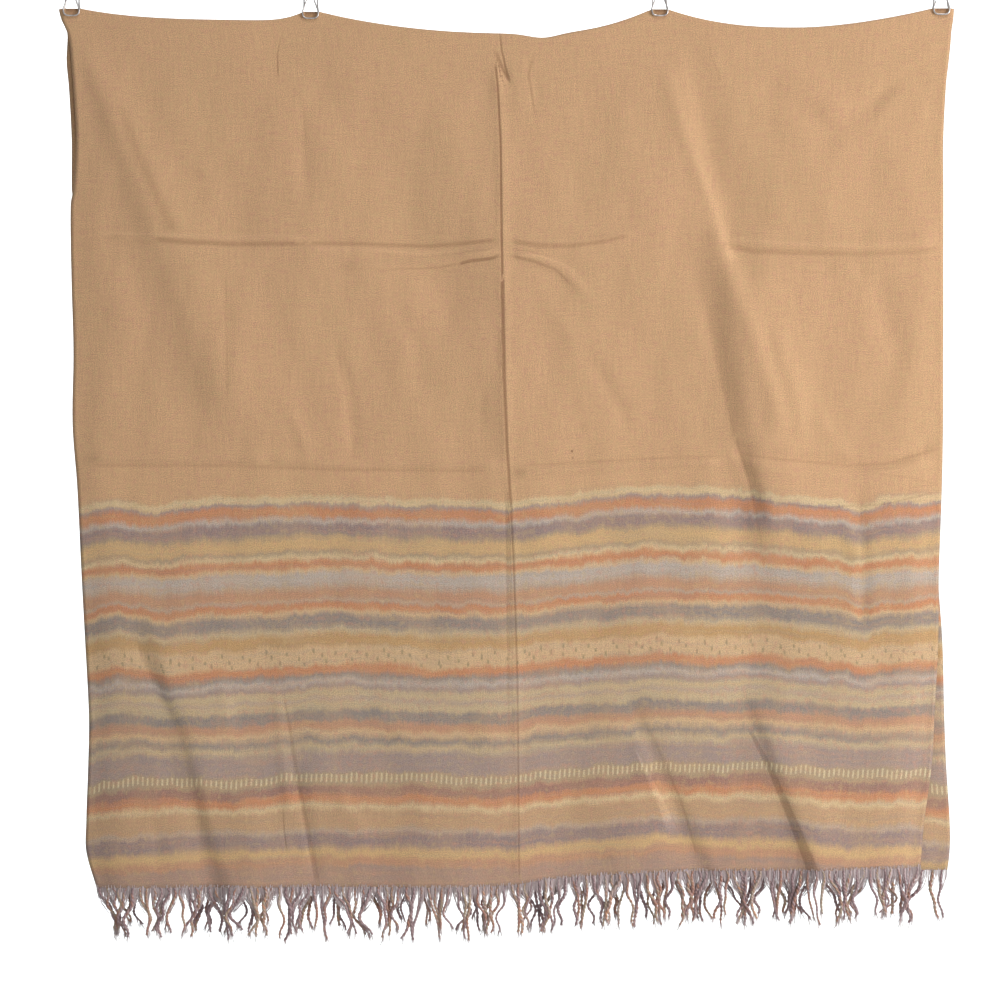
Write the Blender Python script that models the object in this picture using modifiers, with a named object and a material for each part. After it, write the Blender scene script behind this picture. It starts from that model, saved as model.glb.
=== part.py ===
"""Fringed stole, folded in half over its top edge and held by four wire clips.

Metres, +Z up. X runs to the right as the front is seen and the front faces -Y.
The origin lies in the plane of the fold, level with the top of the highest clip
eye and midway across the cloth. A drop is a distance below that level.
"""

import math
import random
from collections import namedtuple

import bmesh
import bpy
from mathutils import Vector

MM = 0.001

# Cloth
CLOTH_WIDTH = 967 * MM
WALL = 1.2 * MM
SEAM_GAP = 0.4 * MM
FOLD_LEG = 24 * MM
PINCHED_HALF_GAP = 1.2 * MM
OPEN_HALF_GAP = 2.6 * MM
FALL_HALF_GAP = 3.6 * MM
PINCH_DEPTH = 12 * MM
PARTING_DEPTH = 96 * MM
CLIP_FLAT = 9 * MM
CLIP_REACH = 80 * MM
CORNER_DROOP = 1.6 * MM
FRONT_ROWS = 20
BACK_ROWS = 11
COLUMNS_BETWEEN_CLIPS = [10, 14, 14]

# Storage crease, down the middle of the front
CREASE_SHARE = 0.503
CREASE_DRIFT = 0.019
CREASE_DRIFT_REACH = 0.25
CREASE_WIDTH = 8 * MM
CREASE_RISE = 1.6 * MM
CREASE_COLUMN_STEP = 0.011
CREASE_COLUMN_CLEARANCE = 0.015

# Fringe
STRIP_HEIGHT = 4 * MM
STRIP_WALL = 2 * MM
STRAND_WIDTH = 2.6 * MM
STRAND_LENGTH = 51 * MM
STRAND_LENGTH_SPREAD = 7 * MM
STRAND_TIP_SCALE = 0.5
STRAND_STEPS = 2
CLUMP_SIZES = (3, 6)
CLUMP_PULL = 0.5
CLUMP_LEAN = 5 * MM
CLUMP_DEPTH = 1.5 * MM
FRONT_STRANDS = 120
BACK_STRANDS = 84

# Clips
WIRE_RADIUS = 0.9 * MM
JAW_HALF_WIDTH = 8.5 * MM
JAW_TOP = 34 * MM
JAW_BOTTOM = 39.9 * MM
JAW_OFFSET = 3.0 * MM
ARC_STEPS = 8
ARM_HALF_WIDTH = 7.5 * MM
ARM_START = 28 * MM
EYE_RADIUS = 7.5 * MM
EYE_LEAN_START = 13 * MM
SPRING_DROP = 17 * MM
SPRING_RADIUS = 2.2 * MM
SPRING_LENGTH = 13 * MM
FRONT_ARM_OFFSET = 3.4 * MM
FRONT_ARM_START = 31 * MM
FRONT_ARM_TOP = 13.5 * MM
FRONT_ARM_HALF_WIDTH = 1.5 * MM

Clip = namedtuple("Clip", "across lowered crest")
CLIPS_MM = [
    Clip(-469, 1.3, 34.0),
    Clip(-211, 4.3, 37.4),
    Clip(166, 1.3, 34.7),
    Clip(470, 0.0, 33.7),
]

# How the top edge hangs between each clip and the next
Span = namedtuple("Span", "sag low_share left_power right_power")
SPANS_MM = [
    Span(9.8, 0.72, 3.4, 3.2),
    Span(25.0, 0.66, 2.5, 2.1),
    Span(20.0, 0.50, 2.5, 1.7),
]
NOTCH_ACROSS = 36 * MM
NOTCH_WIDTH = 22 * MM
NOTCH_DEPTH = 4.6 * MM

# Where the side edges of both layers lie, level by level
Level = namedtuple("Level", "drop front_left front_right back_left back_right")
LEVELS_MM = [
    Level(34, -483, 484, -482, 483),
    Level(46, -480, 483, -479, 482),
    Level(59, -474, 481, -474, 480),
    Level(72, -471, 480, -474, 479),
    Level(91, -469, 478, -475, 477),
    Level(116, -467, 475, -473, 474),
    Level(177, -464, 472, -470, 472),
    Level(230, -467, 472, -470, 471),
    Level(246, -470, 472, -468, 471),
    Level(330, -469, 472, -466, 471),
    Level(406, -467, 472, -464, 471),
    Level(483, -468, 472, -464, 471),
    Level(550, -463, 471, -460, 470),
    Level(636, -459, 468, -455, 468),
    Level(719, -455, 467, -450, 473),
    Level(800, -451, 463, -447, 475),
    Level(852, -452, 460, -447, 477),
    Level(914, -454, 452, -448, 481),
    Level(945, -454, 449, -446, 481),
    Level(984, -443, 447, -440, 476),
]

# The lower edge of each layer across the stole
Hem = namedtuple("Hem", "across front back")
HEMS_MM = [
    Hem(-445, 984, 974),
    Hem(-250, 982, 975),
    Hem(-5, 981, 972),
    Hem(50, 974, 970),
    Hem(160, 967, 968),
    Hem(330, 964, 967),
    Hem(480, 961, 966),
]

# Folds that stand out from a layer, or sink into it where the height is negative.
# The widths are at a fold's lower end, to each side of its crest line, and the
# taper is its width at the upper end as a share of them.
Fold = namedtuple(
    "Fold",
    "start_across start_drop end_across end_drop left_width right_width taper start_height end_height",
)
FRONT_FOLDS_MM = [
    Fold(-444, 100, -314, 424, 28, 58, 0.4, 4.0, 6.0),
    Fold(-190, 122, -60, 338, 50, 55, 0.5, -2.0, -4.5),
    Fold(198, 90, 250, 300, 18, 32, 0.5, -3.0, -4.0),
    Fold(243, 335, 284, 560, 26, 68, 0.8, 6.5, 10.0),
    Fold(258, 590, 264, 780, 32, 30, 0.8, -4.5, -4.0),
    Fold(282, 818, 347, 985, 15, 64, 0.4, 3.5, 9.5),
    Fold(152, 822, 206, 952, 22, 10, 0.5, -1.5, -4.0),
    Fold(-372, 727, -292, 985, 18, 52, 0.6, 3.0, 9.0),
    Fold(-6, 290, 2, 640, 45, 70, 0.9, 3.0, 4.5),
    Fold(-60, 620, -70, 985, 75, 75, 0.9, 3.0, 5.0),
    Fold(72, 700, 82, 985, 46, 46, 0.9, -2.0, -3.5),
]
BACK_FOLDS_MM = [
    Fold(-440, 120, -330, 520, 60, 40, 0.4, 2.0, 4.0),
    Fold(-190, 110, -250, 500, 36, 60, 0.4, 2.0, 4.5),
    Fold(150, 110, 60, 520, 36, 60, 0.4, 2.0, 4.5),
    Fold(440, 110, 330, 560, 40, 60, 0.4, 2.0, 4.0),
    Fold(-360, 640, -380, 975, 44, 40, 0.7, 2.0, 4.5),
    Fold(-120, 600, -130, 975, 50, 44, 0.8, 2.0, 4.0),
    Fold(170, 650, 190, 975, 40, 44, 0.8, 2.0, 4.5),
    Fold(420, 700, 440, 975, 30, 26, 0.8, 1.5, 3.5),
]
FOLD_FADE = 45 * MM
RELIEF_START = 12 * MM
RELIEF_FULL = 110 * MM
EDGE_ROLL = 7 * MM
EDGE_ROLL_WIDTH = 22 * MM
BACK_FOLLOW = 0.8
FOLLOW_SOFTNESS = 1.5 * MM


def mix(low, high, share):
    return low + (high - low) * share


def ramp(value, low, high):
    """Goes smoothly from 0 at low to 1 at high."""
    share = min(max((value - low) / (high - low), 0.0), 1.0)
    return share * share * (3.0 - 2.0 * share)


def read_table(table, key, column, value):
    """One column of a table, read as a smooth curve at a value of its key column."""
    keys = [getattr(row, key) * MM for row in table]
    values = [getattr(row, column) * MM for row in table]
    if value <= keys[0]:
        return values[0]
    if value >= keys[-1]:
        return values[-1]
    last = len(table) - 1
    at = max(index for index in range(last) if keys[index] <= value)

    def slope(index):
        before = max(index - 1, 0)
        after = min(index + 1, last)
        return (values[after] - values[before]) / (keys[after] - keys[before])

    step = keys[at + 1] - keys[at]
    t = (value - keys[at]) / step
    blend = t * t * (3 - 2 * t)
    leave = t * (1 - t) ** 2 * step * slope(at)
    arrive = t * t * (1 - t) * step * slope(at + 1)
    return mix(values[at], values[at + 1], blend) + leave - arrive


def crest_drop(across):
    """Drop of the top edge: level under each clip and sagging between clips."""
    first = CLIPS_MM[0]
    last = CLIPS_MM[-1]
    outside = max(first.across * MM - CLIP_FLAT - across, across - last.across * MM - CLIP_FLAT)
    if outside > 0:
        end = first if across < 0 else last
        return end.crest * MM + CORNER_DROOP * (outside / CLIP_FLAT) ** 2
    for left, right, span in zip(CLIPS_MM, CLIPS_MM[1:], SPANS_MM):
        start = left.across * MM + CLIP_FLAT
        finish = right.across * MM - CLIP_FLAT
        if across < start:
            return left.crest * MM
        if across <= finish:
            share = (across - start) / (finish - start)
            low = span.low_share
            if share < low:
                away = ((low - share) / low) ** span.left_power
            else:
                away = ((share - low) / (1 - low)) ** span.right_power
            notch = NOTCH_DEPTH * math.exp(-(((across - NOTCH_ACROSS) / NOTCH_WIDTH) ** 2))
            chord = mix(left.crest, right.crest, share) * MM
            return chord + span.sag * MM * (1 - away) + notch
    return last.crest * MM


def hem_drop(side, across):
    return read_table(HEMS_MM, "across", side, across)


def across_at(side, share, drop):
    """Distance across at a share of the width, in line with the storage crease."""
    left = read_table(LEVELS_MM, "drop", side + "_left", drop)
    right = read_table(LEVELS_MM, "drop", side + "_right", drop)
    middle = math.exp(-(((share - CREASE_SHARE) / CREASE_DRIFT_REACH) ** 2))
    drift = CREASE_DRIFT * (drop / hem_drop(side, 0) - 0.5) * middle
    return mix(left, right, share + drift)


def fold_height(folds, across, drop):
    """Sum of the folds at a place, each a rounded ridge along its own line."""
    total = 0.0
    for fold in folds:
        run_across = (fold.end_across - fold.start_across) * MM
        run_drop = (fold.end_drop - fold.start_drop) * MM
        run = math.hypot(run_across, run_drop)
        from_across = across - fold.start_across * MM
        from_drop = drop - fold.start_drop * MM
        along = (from_across * run_across + from_drop * run_drop) / run
        beside = (from_across * run_drop - from_drop * run_across) / run
        share = min(max(along / run, 0.0), 1.0)
        width = (fold.right_width if beside > 0 else fold.left_width) * MM
        width *= mix(fold.taper, 1.0, share)
        past_end = (along - run * share) / FOLD_FADE
        height = mix(fold.start_height, fold.end_height, share) * MM
        total += height * math.exp(-((beside / width) ** 2) - past_end**2)
    return total


def half_gap(across, below):
    """Half the distance between the middles of the two layers' walls."""
    nearest = min(abs(across - clip.across * MM) for clip in CLIPS_MM)
    free = ramp(nearest, CLIP_FLAT, CLIP_REACH)
    top = mix(PINCHED_HALF_GAP, OPEN_HALF_GAP, free)
    return mix(top, FALL_HALF_GAP, ramp(below, PINCH_DEPTH, PARTING_DEPTH))


def crease_height(share):
    away = (share - CREASE_SHARE) * CLOTH_WIDTH
    return CREASE_RISE * math.exp(-((away / CREASE_WIDTH) ** 2))


def layer_depth(side, share, across, drop, below):
    """Y of the middle of a layer's wall."""
    gap = half_gap(across, below)
    loose = ramp(below, RELIEF_START, RELIEF_FULL)
    left = read_table(LEVELS_MM, "drop", "front_left", drop)
    right = read_table(LEVELS_MM, "drop", "front_right", drop)
    edge = max(min(across - left, right - across), 0.0)
    roll = EDGE_ROLL * (drop / hem_drop("front", across)) * math.exp(-((edge / EDGE_ROLL_WIDTH) ** 2))
    pushed = roll - fold_height(FRONT_FOLDS_MM, across, drop)
    if side == "front":
        return loose * (pushed - crease_height(share)) - gap
    shared = 0.5 * (1 + BACK_FOLLOW) * pushed
    shared += 0.5 * (1 - BACK_FOLLOW) * math.sqrt(pushed**2 + FOLLOW_SOFTNESS**2)
    own = fold_height(BACK_FOLDS_MM, across, drop)
    return loose * (shared + own) + gap


def layer_point(side, share, down_share, start=FOLD_LEG):
    """Middle of a layer's wall, from a start below the crest to its lower edge."""
    crest = crest_drop(across_at(side, share, CLIPS_MM[0].crest * MM))
    hem = hem_drop(side, across_at(side, share, HEMS_MM[0].front * MM))
    drop = mix(crest + start, hem, down_share)
    across = across_at(side, share, drop)
    depth = layer_depth(side, share, across, drop, drop - crest)
    return Vector((across, depth, -drop))


def column_shares():
    """Shares of the width where the walls have columns of points."""
    level = CLIPS_MM[0].crest * MM
    left = across_at("front", 0.0, level)
    width = across_at("front", 1.0, level) - left
    stations = [left]
    for index, clip in enumerate(CLIPS_MM):
        start = clip.across * MM - CLIP_FLAT
        finish = clip.across * MM + CLIP_FLAT
        stations += [start, clip.across * MM, finish]
        if index < len(COLUMNS_BETWEEN_CLIPS):
            following = CLIPS_MM[index + 1].across * MM - CLIP_FLAT
            count = COLUMNS_BETWEEN_CLIPS[index]
            stations += [mix(finish, following, (i + 1) / count) for i in range(count - 1)]
    stations.append(left + width)
    shares = [(station - left) / width for station in stations]
    shares = [share for share in shares if abs(share - CREASE_SHARE) > CREASE_COLUMN_CLEARANCE]
    shares += [CREASE_SHARE + CREASE_COLUMN_STEP * step for step in (-1, 0, 1)]
    return sorted(shares)


def finish_material(name, color, roughness, metallic=0.0):
    material = bpy.data.materials.new(name)
    material.use_nodes = True
    shader = material.node_tree.nodes["Principled BSDF"]
    shader.inputs["Base Color"].default_value = (*color, 1.0)
    shader.inputs["Roughness"].default_value = roughness
    shader.inputs["Metallic"].default_value = metallic
    return material


def add_object(name, mesh, material, collection):
    mesh.materials.append(material)
    mesh.shade_smooth()
    piece = bpy.data.objects.new(name, mesh)
    collection.objects.link(piece)
    return piece


def add_wall(name, rows, place, material, collection):
    """A stretch of cloth: a grid set out by place(share, row) and given its thickness."""
    shares = column_shares()
    columns = len(shares) - 1
    form = bmesh.new()
    bmesh.ops.create_grid(form, x_segments=columns, y_segments=rows, size=0.5)
    for vert in form.verts:
        column = round((vert.co.x + 0.5) * columns)
        row = round((0.5 - vert.co.y) * rows)
        vert.co = place(shares[column], row)
    mesh = bpy.data.meshes.new(name)
    form.to_mesh(mesh)
    form.free()
    piece = add_object(name, mesh, material, collection)
    thickness = piece.modifiers.new("wall", "SOLIDIFY")
    thickness.thickness = WALL
    thickness.offset = 0.0
    thickness.use_even_offset = True


def add_fall(side, rows, material, collection):
    def place(share, row):
        return layer_point(side, share, row / rows, FOLD_LEG + SEAM_GAP)

    add_wall(side + "_fall", rows, place, material, collection)


def add_top_fold(material, collection):
    """The bend over the top: two short legs joined by a half round."""
    angles = [math.radians(degrees) for degrees in (0, 45, 90, 135, 180)]
    last_row = len(angles) + 1

    def place(share, row):
        if row == 0:
            return layer_point("front", share, 0.0)
        if row == last_row:
            return layer_point("back", share, 0.0)
        angle = angles[row - 1]
        crest = crest_drop(across_at("front", share, CLIPS_MM[0].crest * MM))
        front_across = across_at("front", share, crest)
        back_across = across_at("back", share, crest)
        radius = half_gap(front_across, 0.0)
        drop = crest + WALL / 2 + radius * (1 - math.sin(angle))
        across = mix(front_across, back_across, angle / math.pi)
        return Vector((across, -radius * math.cos(angle), -drop))

    add_wall("top_fold", last_row, place, material, collection)


def strand_clumps(count, draw):
    """For each strand, its clump's middle and lean."""
    clumps = []
    while len(clumps) < count:
        size = min(draw.randint(*CLUMP_SIZES), count - len(clumps))
        middle = len(clumps) + (size - 1) / 2
        lean = draw.uniform(-CLUMP_LEAN, CLUMP_LEAN)
        clumps += [(middle, lean)] * size
    return clumps


def add_fringe(side, count, seed, material, collection):
    """A strip along the lower edge with strands drawn out of its underside."""
    draw = random.Random(seed)
    columns = 2 * count + 1
    left = layer_point(side, 0.0, 1.0).x
    right = layer_point(side, 1.0, 1.0).x
    pitch = (right - left) / count
    half_share = 0.5 * STRAND_WIDTH / pitch

    def station(column):
        """Share of the width at a column line: each strand has a line at either side."""
        if column in (0, columns):
            return column / columns
        strand, second = divmod(column - 1, 2)
        return (strand + 0.5 + (half_share if second else -half_share)) / count

    form = bmesh.new()
    bmesh.ops.create_grid(form, x_segments=columns, y_segments=1, size=0.5)
    for vert in form.verts:
        column = round((vert.co.x + 0.5) * columns)
        behind = 1 if vert.co.y > 0 else -1
        root = layer_point(side, station(column), 1.0)
        root.y += behind * STRIP_WALL / 2
        root.z -= SEAM_GAP + STRIP_HEIGHT
        vert.co = root
    bottoms = sorted(form.faces, key=lambda face: face.calc_center_median().x)
    risen = bmesh.ops.extrude_face_region(form, geom=list(form.faces))["geom"]
    tops = [item for item in risen if isinstance(item, bmesh.types.BMVert)]
    bmesh.ops.translate(form, verts=tops, vec=(0.0, 0.0, STRIP_HEIGHT))
    for index, (middle, lean) in enumerate(strand_clumps(count, draw)):
        length = STRAND_LENGTH + draw.uniform(-1, 1) * STRAND_LENGTH_SPREAD
        sideways = (middle - index) * pitch * CLUMP_PULL + lean
        depth = draw.uniform(-1, 1) * CLUMP_DEPTH
        face = bottoms[2 * index + 1]
        for step in range(STRAND_STEPS):
            face = bmesh.ops.extrude_discrete_faces(form, faces=[face])["faces"][0]
            centre = face.calc_center_median()
            done = (step + 0.5) / STRAND_STEPS
            move = Vector((2 * sideways * done, 2 * depth * done, -length)) / STRAND_STEPS
            scale = STRAND_TIP_SCALE ** (1 / STRAND_STEPS)
            for vert in face.verts:
                vert.co = centre + move + (vert.co - centre) * scale
    bmesh.ops.recalc_face_normals(form, faces=form.faces)
    mesh = bpy.data.meshes.new(side + "_fringe")
    form.to_mesh(mesh)
    form.free()
    add_object(side + "_fringe", mesh, material, collection)


def jaw_arc(offset):
    """The rounded lower end of a jaw, from its right shoulder to its left one."""
    points = []
    for step in range(ARC_STEPS + 1):
        angle = math.pi * step / ARC_STEPS
        drop = mix(JAW_TOP, JAW_BOTTOM, math.sin(angle))
        points.append(Vector((JAW_HALF_WIDTH * math.cos(angle), offset, -drop)))
    return points


def back_jaw_path():
    """Jaw, two straight arms and the half round hanging eye at the top."""
    points = jaw_arc(JAW_OFFSET)
    for drop in (ARM_START, EYE_LEAN_START):
        points.append(Vector((-ARM_HALF_WIDTH, JAW_OFFSET, -drop)))
    for step in range(ARC_STEPS + 1):
        angle = math.pi * (1 - step / ARC_STEPS)
        drop = WIRE_RADIUS + EYE_RADIUS * (1 - math.sin(angle))
        depth = JAW_OFFSET * ramp(drop, 0.0, EYE_LEAN_START)
        points.append(Vector((EYE_RADIUS * math.cos(angle), depth, -drop)))
    for drop in (EYE_LEAN_START, ARM_START):
        points.append(Vector((ARM_HALF_WIDTH, JAW_OFFSET, -drop)))
    return points


def front_jaw_path():
    """Jaw, two arms that close in over the spring and a small rounded end."""
    points = jaw_arc(-JAW_OFFSET)
    top_turn = FRONT_ARM_TOP + FRONT_ARM_HALF_WIDTH
    points.append(Vector((-ARM_HALF_WIDTH, -JAW_OFFSET, -FRONT_ARM_START)))
    points.append(Vector((-FRONT_ARM_HALF_WIDTH, -FRONT_ARM_OFFSET, -top_turn)))
    for degrees in (135, 90, 45):
        angle = math.radians(degrees)
        across = FRONT_ARM_HALF_WIDTH * math.cos(angle)
        drop = top_turn - FRONT_ARM_HALF_WIDTH * math.sin(angle)
        points.append(Vector((across, -FRONT_ARM_OFFSET, -drop)))
    points.append(Vector((FRONT_ARM_HALF_WIDTH, -FRONT_ARM_OFFSET, -top_turn)))
    points.append(Vector((ARM_HALF_WIDTH, -JAW_OFFSET, -FRONT_ARM_START)))
    return points


def add_wire(name, path, place, material, collection):
    curve = bpy.data.curves.new(name, "CURVE")
    curve.dimensions = "3D"
    curve.bevel_depth = WIRE_RADIUS
    curve.bevel_resolution = 1
    spline = curve.splines.new("POLY")
    spline.points.add(len(path) - 1)
    spline.use_cyclic_u = True
    for point, position in zip(spline.points, path):
        point.co = (*position, 1.0)
    curve.materials.append(material)
    wire = bpy.data.objects.new(name, curve)
    wire.location = place
    collection.objects.link(wire)


def add_spring(name, place, material, collection):
    form = bmesh.new()
    bmesh.ops.create_cone(
        form,
        cap_ends=True,
        segments=16,
        radius1=SPRING_RADIUS,
        radius2=SPRING_RADIUS,
        depth=SPRING_LENGTH,
    )
    mesh = bpy.data.meshes.new(name)
    form.to_mesh(mesh)
    form.free()
    spring = add_object(name, mesh, material, collection)
    spring.location = place + Vector((0.0, 0.0, -SPRING_DROP))
    spring.rotation_euler = (0.0, math.pi / 2, 0.0)


def add_clip(number, clip, material, collection):
    name = f"clip_{number}"
    place = Vector((clip.across * MM, 0.0, -clip.lowered * MM))
    add_wire(name + "_front_jaw", front_jaw_path(), place, material, collection)
    add_wire(name + "_back_jaw", back_jaw_path(), place, material, collection)
    add_spring(name + "_spring", place, material, collection)


def main():
    for item in list(bpy.data.objects):
        bpy.data.objects.remove(item)
    collection = bpy.data.collections.new("fringed_stole")
    bpy.context.scene.collection.children.link(collection)

    cloth = finish_material("sand_tan_weave", (0.53, 0.33, 0.18), 0.9)
    striped = finish_material("striped_weave", (0.42, 0.25, 0.16), 0.9)
    yarn = finish_material("fringe_yarn", (0.20, 0.12, 0.10), 0.9)
    steel = finish_material("clip_steel", (0.55, 0.56, 0.55), 0.3, 1.0)

    add_fall("front", FRONT_ROWS, cloth, collection)
    add_top_fold(cloth, collection)
    add_fall("back", BACK_ROWS, striped, collection)
    add_fringe("front", FRONT_STRANDS, 11, yarn, collection)
    add_fringe("back", BACK_STRANDS, 23, yarn, collection)
    for number, clip in enumerate(CLIPS_MM, 1):
        add_clip(number, clip, steel, collection)


main()
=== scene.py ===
# %% [markdown]
# # A fringed stole on four wire clips
#
# The stole is one long piece of fine cloth, hung double over its own top edge. Four small
# wire clips pinch the fold. The upper half is plain sand tan, and blurred cross stripes run
# to a fringe of twisted warp ends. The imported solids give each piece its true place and
# size. This script dresses them: it weaves a thin cloth over the same form, lays in the
# stripes and the creases, spins the yarn and draws the wire.

# %% Load the frame
import math
import random
from collections import namedtuple

import bmesh
import bpy
import numpy as np
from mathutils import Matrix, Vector


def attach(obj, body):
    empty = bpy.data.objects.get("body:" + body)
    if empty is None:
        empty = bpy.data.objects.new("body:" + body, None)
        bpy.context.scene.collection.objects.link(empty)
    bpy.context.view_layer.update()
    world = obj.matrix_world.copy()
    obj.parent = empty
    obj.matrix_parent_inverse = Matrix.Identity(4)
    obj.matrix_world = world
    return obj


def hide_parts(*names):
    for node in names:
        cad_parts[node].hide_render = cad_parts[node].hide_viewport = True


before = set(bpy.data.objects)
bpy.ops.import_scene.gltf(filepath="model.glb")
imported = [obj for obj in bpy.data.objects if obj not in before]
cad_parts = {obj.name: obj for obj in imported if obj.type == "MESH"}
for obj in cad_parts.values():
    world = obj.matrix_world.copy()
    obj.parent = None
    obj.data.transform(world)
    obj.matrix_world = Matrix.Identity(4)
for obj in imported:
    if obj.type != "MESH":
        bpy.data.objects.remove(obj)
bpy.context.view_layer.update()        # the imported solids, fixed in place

print("solids in the frame:", len(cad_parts))

# %% [markdown]
# ## The form of the cloth
#
# The solids are coarse walls, too plain to show a crease. The shown cloth needs many more
# points on exactly the same form, so this script repeats the few sizes and short tables
# that shape the walls: where the clips are, how the top edge sags between them, where the
# side edges and the hems lie, and which large folds stand out. All tables are in
# millimetres. A drop is the distance below the top of the highest clip eye.

# %% Sizes of the cloth
MM = 0.001

CLOTH_WIDTH = 967 * MM
SOLID_WALL = 1.2 * MM
FOLD_LEG = 24 * MM
PINCHED_HALF_GAP = 1.2 * MM
OPEN_HALF_GAP = 2.6 * MM
FALL_HALF_GAP = 3.6 * MM
PINCH_DEPTH = 12 * MM
PARTING_DEPTH = 96 * MM
CLIP_FLAT = 9 * MM
CLIP_REACH = 80 * MM
CORNER_DROOP = 1.6 * MM
CREASE_SHARE = 0.503
CREASE_DRIFT = 0.019
CREASE_DRIFT_REACH = 0.25
RELIEF_START = 12 * MM
RELIEF_FULL = 110 * MM
EDGE_ROLL = 7 * MM
EDGE_ROLL_WIDTH = 22 * MM
BACK_FOLLOW = 0.8
FOLLOW_SOFTNESS = 1.5 * MM
FOLD_FADE = 45 * MM

# %% Where the clips, edges and hems lie
Clip = namedtuple("Clip", "across lowered crest")
CLIPS_MM = [
    Clip(-469, 1.3, 34.0),
    Clip(-211, 4.3, 37.4),
    Clip(166, 1.3, 34.7),
    Clip(470, 0.0, 33.7),
]
Span = namedtuple("Span", "sag low_share left_power right_power")
SPANS_MM = [
    Span(9.8, 0.72, 3.4, 3.2),
    Span(25.0, 0.66, 2.5, 2.1),
    Span(20.0, 0.50, 2.5, 1.7),
]
NOTCH_ACROSS = 36 * MM
NOTCH_WIDTH = 22 * MM
NOTCH_DEPTH = 4.6 * MM

Level = namedtuple("Level", "drop front_left front_right back_left back_right")
LEVELS_MM = [
    Level(34, -483, 484, -482, 483),
    Level(46, -480, 483, -479, 482),
    Level(59, -474, 481, -474, 480),
    Level(72, -471, 480, -474, 479),
    Level(91, -469, 478, -475, 477),
    Level(116, -467, 475, -473, 474),
    Level(177, -464, 472, -470, 472),
    Level(230, -467, 472, -470, 471),
    Level(246, -470, 472, -468, 471),
    Level(330, -469, 472, -466, 471),
    Level(406, -467, 472, -464, 471),
    Level(483, -468, 472, -464, 471),
    Level(550, -463, 471, -460, 470),
    Level(636, -459, 468, -455, 468),
    Level(719, -455, 467, -450, 473),
    Level(800, -451, 463, -447, 475),
    Level(852, -452, 460, -447, 477),
    Level(914, -454, 452, -448, 481),
    Level(945, -454, 449, -446, 481),
    Level(984, -443, 447, -440, 476),
]
Hem = namedtuple("Hem", "across front back")
HEMS_MM = [
    Hem(-445, 984, 974),
    Hem(-250, 982, 975),
    Hem(-5, 981, 972),
    Hem(50, 974, 970),
    Hem(160, 967, 968),
    Hem(330, 964, 967),
    Hem(480, 961, 966),
]

# %% The large folds that the solids have too
Fold = namedtuple(
    "Fold",
    "start_across start_drop end_across end_drop left_width right_width taper start_height end_height",
)
FRONT_FOLDS_MM = [
    Fold(-444, 100, -314, 424, 28, 58, 0.4, 4.0, 6.0),
    Fold(-190, 122, -60, 338, 50, 55, 0.5, -2.0, -4.5),
    Fold(198, 90, 250, 300, 18, 32, 0.5, -3.0, -4.0),
    Fold(243, 335, 284, 560, 26, 68, 0.8, 6.5, 10.0),
    Fold(258, 590, 264, 780, 32, 30, 0.8, -4.5, -4.0),
    Fold(282, 818, 347, 985, 15, 64, 0.4, 3.5, 9.5),
    Fold(152, 822, 206, 952, 22, 10, 0.5, -1.5, -4.0),
    Fold(-372, 727, -292, 985, 18, 52, 0.6, 3.0, 9.0),
    Fold(-6, 290, 2, 640, 45, 70, 0.9, 3.0, 4.5),
    Fold(-60, 620, -70, 985, 75, 75, 0.9, 3.0, 5.0),
    Fold(72, 700, 82, 985, 46, 46, 0.9, -2.0, -3.5),
]
BACK_FOLDS_MM = [
    Fold(-440, 120, -330, 520, 60, 40, 0.4, 2.0, 4.0),
    Fold(-190, 110, -250, 500, 36, 60, 0.4, 2.0, 4.5),
    Fold(150, 110, 60, 520, 36, 60, 0.4, 2.0, 4.5),
    Fold(440, 110, 330, 560, 40, 60, 0.4, 2.0, 4.0),
    Fold(-360, 640, -380, 975, 44, 40, 0.7, 2.0, 4.5),
    Fold(-120, 600, -130, 975, 50, 44, 0.8, 2.0, 4.0),
    Fold(170, 650, 190, 975, 40, 44, 0.8, 2.0, 4.5),
    Fold(420, 700, 440, 975, 30, 26, 0.8, 1.5, 3.5),
]


# %% [markdown]
# Each table is read as a smooth curve through its rows, so that an edge has no corners
# between them. All the functions take whole arrays at once, because the shown cloth has
# nearly ninety thousand points.

# %% Read a table as a smooth curve
def blend(low, high, share):
    return low + (high - low) * share


def ease(value, low, high):
    """Goes smoothly from 0 at low to 1 at high."""
    share = np.clip((value - low) / (high - low), 0.0, 1.0)
    return share * share * (3.0 - 2.0 * share)


def read_table(table, key, column, value):
    keys = np.array([getattr(row, key) for row in table]) * MM
    values = np.array([getattr(row, column) for row in table]) * MM
    order = np.arange(len(keys))
    before = np.maximum(order - 1, 0)
    after = np.minimum(order + 1, len(keys) - 1)
    slopes = (values[after] - values[before]) / (keys[after] - keys[before])
    held = np.clip(value, keys[0], keys[-1])
    at = np.clip(np.searchsorted(keys, held, side="right") - 1, 0, len(keys) - 2)
    step = keys[at + 1] - keys[at]
    t = (held - keys[at]) / step
    leave = t * (1 - t) ** 2 * step * slopes[at]
    arrive = t * t * (1 - t) * step * slopes[at + 1]
    return blend(values[at], values[at + 1], t * t * (3 - 2 * t)) + leave - arrive


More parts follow.
